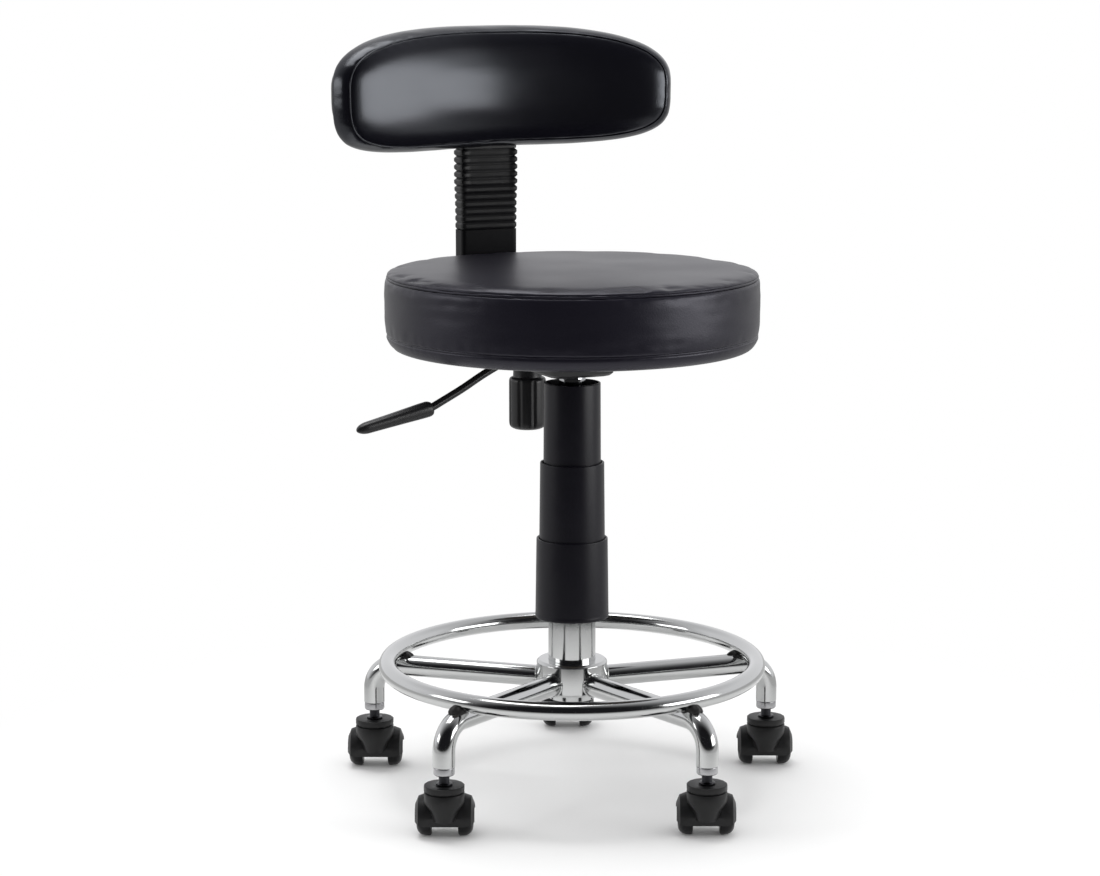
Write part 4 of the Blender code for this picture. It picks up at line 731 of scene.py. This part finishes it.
sleeve_plastic = handled_material("sleeve_plastic", (0.003, 0.003, 0.004), 0.42, spread=0.2,
                                  grain=(1500, 0.00005), shine=0.12)
bar_back_y, bar_level, bar_bend = 222.5 * mm, 457 * mm, 26 * mm
sleeve_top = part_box("bar_sleeve")[1].z
turn = np.linspace(0, np.pi / 2, 14)[1:]
sleeve_path = np.vstack(
    [[(0, y, bar_level) for y in (150 * mm, 153 * mm, 190 * mm, bar_back_y - bar_bend)],
     np.stack([0 * turn, bar_back_y - bar_bend + bar_bend * np.sin(turn),
               bar_level + bar_bend * (1 - np.cos(turn))], -1),
     [(0, bar_back_y, z) for z in np.linspace(bar_level + 30 * mm, sleeve_top, 30)]])
shell_rows = swept(sleeve_path, (1, 0, 0), rounded_box(33 * mm, 11 * mm, 3.5 * mm))
inner_rows = swept(sleeve_path, (1, 0, 0), rounded_box(31 * mm, 9 * mm, 2.5 * mm))[::-1]
slot_rows = swept(sleeve_path[:2], (1, 0, 0), rounded_box(22.8 * mm, 3.8 * mm, 1.4 * mm))[::-1]
sleeve_skin = skin(np.concatenate([shell_rows, inner_rows[:-1], slot_rows]), "loop")
piece("smooth_sleeve", [sleeve_skin], "bar", sleeve_plastic, ["bar_sleeve"])

bellows_low, bellows_high = (corner.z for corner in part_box("bar_bellows"))
rib_count = 11
rise = np.linspace(0, 1, rib_count * 14 + 1)
beat = (rise * rib_count) % 1
crest = np.clip(np.interp(beat, [0, 0.10, 0.30, 0.72, 0.92, 1], [0, 0.35, 1, 1, 0.3, 0]), 0, 1)
crest = crest * np.interp(rise, [0, 0.35, 0.6, 1], [0.55, 0.65, 1, 1])
half_size = np.array([31.8 * mm, 10 * mm])
outline = rounded_box(*half_size, 3 * mm)
side_share = np.clip((np.abs(outline[:, 0]) - 24 * mm) / (8 * mm), 0, 1)
face_share = np.interp(rise, [0, 0.45, 0.62, 1], [1, 0.9, 0.25, 0.2])[:, None]
bulge = 2.2 * mm * crest[:, None] * (side_share + (1 - side_share) * face_share)
outward = np.sign(outline) * (np.abs(outline) / half_size > (0.90, 0.70))
folds = outline[None] + outward[None] * bulge[..., None]
level = bellows_low + rise * (bellows_high - bellows_low)
outside = np.stack([folds[..., 0], bar_back_y + folds[..., 1], np.repeat(level[:, None], section_count, 1)], -1)
bore = rounded_box(30 * mm, 8.4 * mm, 2.4 * mm)
inside = np.stack([np.insert(bore + (0, bar_back_y), 2, z, axis=1) for z in (bellows_high, bellows_low)])
bellows_rubber = handled_material("bellows_rubber", (0.004, 0.004, 0.005), 0.44, cloudiness=0.5, spread=0.3,
                                  grain=(1200, 0.00008), shine=0.32)
bellows = piece("ribbed_bellows", [skin(np.concatenate([outside, inside]), "loop")], None, bellows_rubber,
                ["bar_bellows"], sharp=50)
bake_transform(bellows)

# Backrest pad
# A bent plywood board with firm foam in front, covered in leatherette: a face panel with a welt round it, and a
# side band drawn round to the back. A vacuum-formed shell covers the board and the bracket behind.
pad_bend, pad_axis_y, pad_middle = 440 * mm, (207.4 - 440) * mm, 736.3 * mm
pad_half_width, pad_half_height = 205 * mm, 66 * mm


def pad_place(along, upright, depth):
    """Flat points bent round the pad's upright axis; depth is measured back from the board's front."""
    angle = along / pad_bend
    reach = pad_bend + depth
    return np.stack([reach * np.sin(angle), pad_axis_y + reach * np.cos(angle), pad_middle + upright], -1)


def pad_oval(inset):
    """The pad's outline laid flat: |x/a|^p + |z/b|^p = 1 with p 2.65 above and 4.1 below, whose left foot hangs
    lower than its right."""
    angle = full_turn(360)
    c, s = np.cos(angle), np.sin(angle)
    power = np.where(s >= 0, 2.65, 4.1)
    reach = (np.abs(c) ** power + np.abs(s) ** power) ** (-1 / power)
    along, upright = (pad_half_width - inset) * reach * c, (pad_half_height - inset) * reach * s
    lean = np.where(along < 0, 8.5, 0.3) * mm * along / pad_half_width * np.clip(-upright / (50 * mm), 0, 1)
    return np.stack([along, upright + lean], -1)


def pad_grid(oval, profile):
    """An oval drawn in by each share of a profile of (share, depth), less at its ends, so that its rim keeps
    its width. The foam in front thins by 7 mm * (along / half width)^5 towards both ends."""
    share, depth = np.asarray(profile, float).T
    short = 1 - share
    along = (1 - short * (0.18 + 0.82 * short))[:, None] * oval[:, 0]
    upright = share[:, None] * oval[:, 1]
    thinner = 7 * mm * (np.abs(along) / pad_half_width) ** 5 * np.clip(-depth / (20 * mm), 0, 1)[:, None]
    return pad_place(along, upright, depth[:, None] + thinner)


def in_shares(profile, radii, step, scale=pad_half_height):
    """A profile of (share, depth in mm) with its corners filleted and its points spaced evenly."""
    line = np.asarray(profile, float) * (scale, mm)
    return respaced(filleted(line, np.asarray(radii) * mm, steps=7), step) / (scale, 1)


def pad_hold(points):
    """Firm round the back and along the welt, and nearly free over the foam."""
    behind = np.hypot(points[:, 0], points[:, 1] - pad_axis_y) - pad_bend
    to_welt = np.linalg.norm(points[:, None] - welt_line[::2], axis=-1).min(1)
    return np.maximum(np.clip(behind / (3 * mm), 0, 1), np.clip(1.2 - to_welt / (5 * mm), 0.03, 1))


pad_leather = leather_material("pad_leatherette", (0.0030, 0.0028, 0.0052), 0.235, 0.00004, 0.68,
                               (0.88, 0.92, 1.0))
seam_share, seam_depth = 0.893, -19.5
face = in_shares(
    [(0.01, -29.6), (0.30, -29.3), (0.52, -28.4), (0.72, -26.4), (0.85, -22.8), (0.883, -20.8),
     (seam_share, seam_depth), (0.903, -19.8), (0.945, -16.4), (0.978, -11.2), (0.995, -5.6), (1.0, -1.5),
     (0.997, 2), (0.985, 5.6), (0.965, 8)],
    [9, 8, 8, 5, 1.4, 0.7, 0.6, 2, 3, 3, 3, 2, 2], 1.1 * mm)
oval = pad_oval(0)
front_rows = pad_grid(oval, face)
back_rows = pad_grid(pad_oval(9.7 * mm), [(1.0, 8 * mm), (1.0, -0.3 * mm), (0.01, -0.3 * mm)])
share, depth = face[:, :1], face[:, 1:]
at_seam = np.hypot((share - seam_share) * pad_half_height, depth - seam_depth * mm)
run = np.cumsum(np.linalg.norm(np.roll(oval, -1, 0) - oval, axis=1))
pucker = np.sin(run / (2.6 * mm) + 1.1 * np.sin(run / (31 * mm))) * (0.55 + 0.45 * np.sin(run / (47 * mm)))
swell = 0.16 * mm * waves(front_rows, (90, 90, 60), 11) * (1 - np.exp(-((at_seam / (9 * mm)) ** 2)))
swell = swell + 0.20 * mm * pucker * np.exp(-at_seam / (4 * mm)) * (at_seam > 1.2 * mm)
creases = waves(front_rows, (30, 30, 9), 12)
swell = swell + 0.35 * mm * creases * (share > 0.89) * np.exp(-at_seam / (14 * mm))
swell = swell * np.clip((share - 0.02) / 0.25, 0, 1) ** 2
welt_line = pad_grid(oval, [(seam_share, (seam_depth - 0.5) * mm)])[0]
pad_rows = stuffed(np.concatenate([front_rows, back_rows]), pad_hold, 0.8 * mm, 4.5 * mm, -0.01, 30)
front_rows = raised(pad_rows[:len(front_rows)], swell)
pad_cover = piece("pad_cover", [skin(np.concatenate([front_rows, back_rows]))], "back", pad_leather,
                  ["back_cushion"], sharp=75)
wander = waves(welt_line, (26, 26, 26), 13)[:, None]
welt_side = welt_line * (1, 1, 0) - (0, pad_axis_y, 0)
welt_side /= np.linalg.norm(welt_side, axis=1, keepdims=True)
welt_line = welt_line + 0.25 * mm * wander * welt_side
welt_skin = skin(swept(welt_line, welt_side, circle(0.8 * mm, 12), closed=True), "loop")
piece("pad_welt", [welt_skin], "back", pad_leather)
dressed("back_board", "back", plywood, "bent_board", broken=0.6 * mm)
dressed("back_bracket", "back", plated, "bar_bracket", broken=0.4 * mm)

outer_line = in_shares([(0.01, 31.8), (0.40, 31.8), (0.74, 30.4), (0.95, 24.0), (0.997, 15.5), (1.0, 8.6)],
                       [8, 9, 9, 5], 1.6 * mm, 53 * mm)
inner_line = in_shares([(1.0, 8.6), (0.99, 15.0), (0.94, 22.4), (0.74, 28.4), (0.40, 29.8), (0.01, 29.8)],
                       [5, 9, 9, 8], 1.6 * mm, 51 * mm)
dish = np.concatenate([pad_grid(pad_oval(13 * mm), outer_line), pad_grid(pad_oval(15 * mm), inner_line)])
neck_low, neck_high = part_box("back_shell")[0].z, 685.3 * mm
neck_out, neck_in = rounded_box(33 * mm, 11 * mm, 3 * mm), rounded_box(31 * mm, 9 * mm, 2 * mm)
neck_foot = neck_out - np.sign(neck_out) * 0.5 * mm
neck = np.stack([np.insert(ring + (0, bar_back_y), 2, z, axis=1) for ring, z in (
    (neck_out, neck_high), (neck_out, neck_low + 0.6 * mm), (neck_foot, neck_low), (neck_in, neck_low),
    (neck_in, neck_high))])
shell_plastic = handled_material("shell_plastic", (0.007, 0.007, 0.008), 0.40, spread=0.12,
                                 grain=(1500, 0.00007))
piece("rear_shell", [skin(dish), skin(neck, "loop")], "back", shell_plastic, ["back_shell"])

# Studio
# A white sweep under soft light: an even white surround, a broad lamp to the right, a smaller one to the left
# and one above. The room in front is darker than the paper, and the plating and the leatherette reflect it.
view_turn = math.radians(25.5)


def from_camera_side(x, y, z):
    """A place given across and away from the camera, turned by the view's angle t into the object's own frame:
    (x cos t + y sin t, y cos t - x sin t, z)."""
    c, s = math.cos(view_turn), math.sin(view_turn)
    return Vector((x * c + y * s, -x * s + y * c, z))


scene = bpy.context.scene
scene.view_settings.view_transform = "Standard"
camera = bpy.data.objects.new("camera", bpy.data.cameras.new("camera"))
scene.collection.objects.link(camera)
scene.camera = camera
focal_pixels, photo_width = 2807, 1100
camera.data.sensor_width = 36
camera.data.lens = 36 * focal_pixels / photo_width
camera.data.clip_start = 0.05
camera.data.clip_end = 200
camera.location = from_camera_side(0, -2.9, 0.8795)
pitch, yaw = math.radians(9.81), math.radians(0.46)
sight = from_camera_side(-math.sin(yaw) * math.cos(pitch), math.cos(yaw) * math.cos(pitch), -math.sin(pitch))
camera.rotation_euler = sight.to_track_quat("-Z", "Y").to_euler()


def lamp(name, place, aim, width, height, watts):
    """A soft rectangular lamp at a place, turned to its aim."""
    light = bpy.data.lights.new(name, "AREA")
    light.shape = "RECTANGLE"
    light.size, light.size_y, light.energy = width, height, watts
    made = bpy.data.objects.new(name, light)
    scene.collection.objects.link(made)
    made.location = place
    made.rotation_euler = (Vector(aim) - Vector(place)).to_track_quat("-Z", "Y").to_euler()


lamp("lamp_right", from_camera_side(2.17, -0.70, 0.69), (0, 0.1, 0.68), 1.5, 0.84, 19)
lamp("lamp_left", from_camera_side(-2.25, -0.6, 0.95), (0, 0, 0.5), 1.0, 0.7, 7)
lamp("lamp_above", from_camera_side(-0.3, 0.2, 2.6), (0, 0, 0.5), 1.6, 1.6, 31)

# The surround is white to the camera and an even fill to matt faces. To mirrors it is a room that brightens
# from the camera's side to the far side, and dims a little towards the ceiling.
world = bpy.data.worlds.new("surround")
scene.world = world
world.use_nodes = True
world.cycles.sampling_method = "NONE"
tree = world.node_tree
tree.nodes.clear()
direction = added(tree, "TexCoord", {}).outputs["Generated"]
ahead = added(tree, "VectorMath", {0: direction, 1: from_camera_side(0, 1, 0)}, operation="DOT_PRODUCT")
shift = added(tree, "MapRange", {"From Min": -1, "From Max": 1, "Value": ahead})
fall = added(tree, "ValToRGB", {"Fac": shift})
fall.color_ramp.interpolation = "EASE"
near_side, far_side = fall.color_ramp.elements
near_side.position, near_side.color = 0.16, (0.015, 0.015, 0.017, 1)
far_side.position, far_side.color = 0.68, (0.95, 0.95, 0.97, 1)
height = added(tree, "SeparateXYZ", {0: direction}).outputs["Z"]
ceiling = added(tree, "MapRange", {"From Min": 0.40, "From Max": 0.85, "To Min": 1.0, "To Max": 0.75,
                                   "Value": height}, interpolation_type="SMOOTHSTEP")
shown = added(tree, "Background", {"Color": (1, 1, 1, 1)})
mirrored = added(tree, "Background", {"Color": fall, "Strength": ceiling})
filling = added(tree, "Background", {"Color": (1, 1, 1, 1), "Strength": 0.80})
rays = added(tree, "LightPath", {}).outputs
seen = added(tree, "Math", {0: rays["Is Glossy Ray"], 1: rays["Is Transmission Ray"]}, operation="MAXIMUM")
unseen = added(tree, "MixShader", {0: seen, 1: filling, 2: mirrored})
surround = added(tree, "MixShader", {0: rays["Is Camera Ray"], 1: unseen, 2: shown})
added(tree, "OutputWorld", {0: surround})

# The floor is a white sheet: matt near the object, so that it keeps the shadows, and plain white further off.
# Mirrors see its far part darker towards the camera's side.
paper, tree, shader = blank_material("white_paper")
place = added(tree, "TexCoord", {}).outputs["Object"]
grain = added(tree, "TexNoise", {"Vector": place, "Scale": 300})
tone = added(tree, "MapRange", {"To Min": 0.93, "To Max": 0.95, "Value": grain})
plugged(shader.inputs, {"Base Color": tone, "Roughness": 0.9, "Specular IOR Level": 0.0})
reach = added(tree, "VectorMath", {0: place}, operation="LENGTH")
far = added(tree, "MapRange", {"From Min": 0.27, "From Max": 0.72, "Value": reach},
            interpolation_type="SMOOTHSTEP")
front_side = added(tree, "VectorMath", {0: place, 1: from_camera_side(0, -1, 0)}, operation="DOT_PRODUCT")
edge = added(tree, "MapRange", {"From Min": 0.50, "From Max": 1.2, "To Min": 0.60, "To Max": 0.02,
                                "Value": front_side}, interpolation_type="SMOOTHSTEP")
white = added(tree, "Emission", {"Strength": 1.0})
mirror_tone = added(tree, "Emission", {"Color": edge})
rays = added(tree, "LightPath", {}).outputs
camera_far, glossy_far = (added(tree, "Math", {0: rays[ray], 1: far}, operation="MULTIPLY")
                          for ray in ("Is Camera Ray", "Is Glossy Ray"))
plain = added(tree, "MixShader", {0: camera_far, 1: shader, 2: white})
sheet = added(tree, "MixShader", {0: glossy_far, 1: plain, 2: mirror_tone})
plugged(tree.nodes["Material Output"].inputs, {"Surface": sheet})
floor_mesh = bpy.data.meshes.new("floor")
floor_mesh.from_pydata([(-60, -60, 0), (60, -60, 0), (60, 60, 0), (-60, 60, 0)], [], [(0, 1, 2, 3)])
floor_mesh.materials.append(paper)
floor = bpy.data.objects.new("floor", floor_mesh)
floor.location = (0, 0, -0.0003)
scene.collection.objects.link(floor)
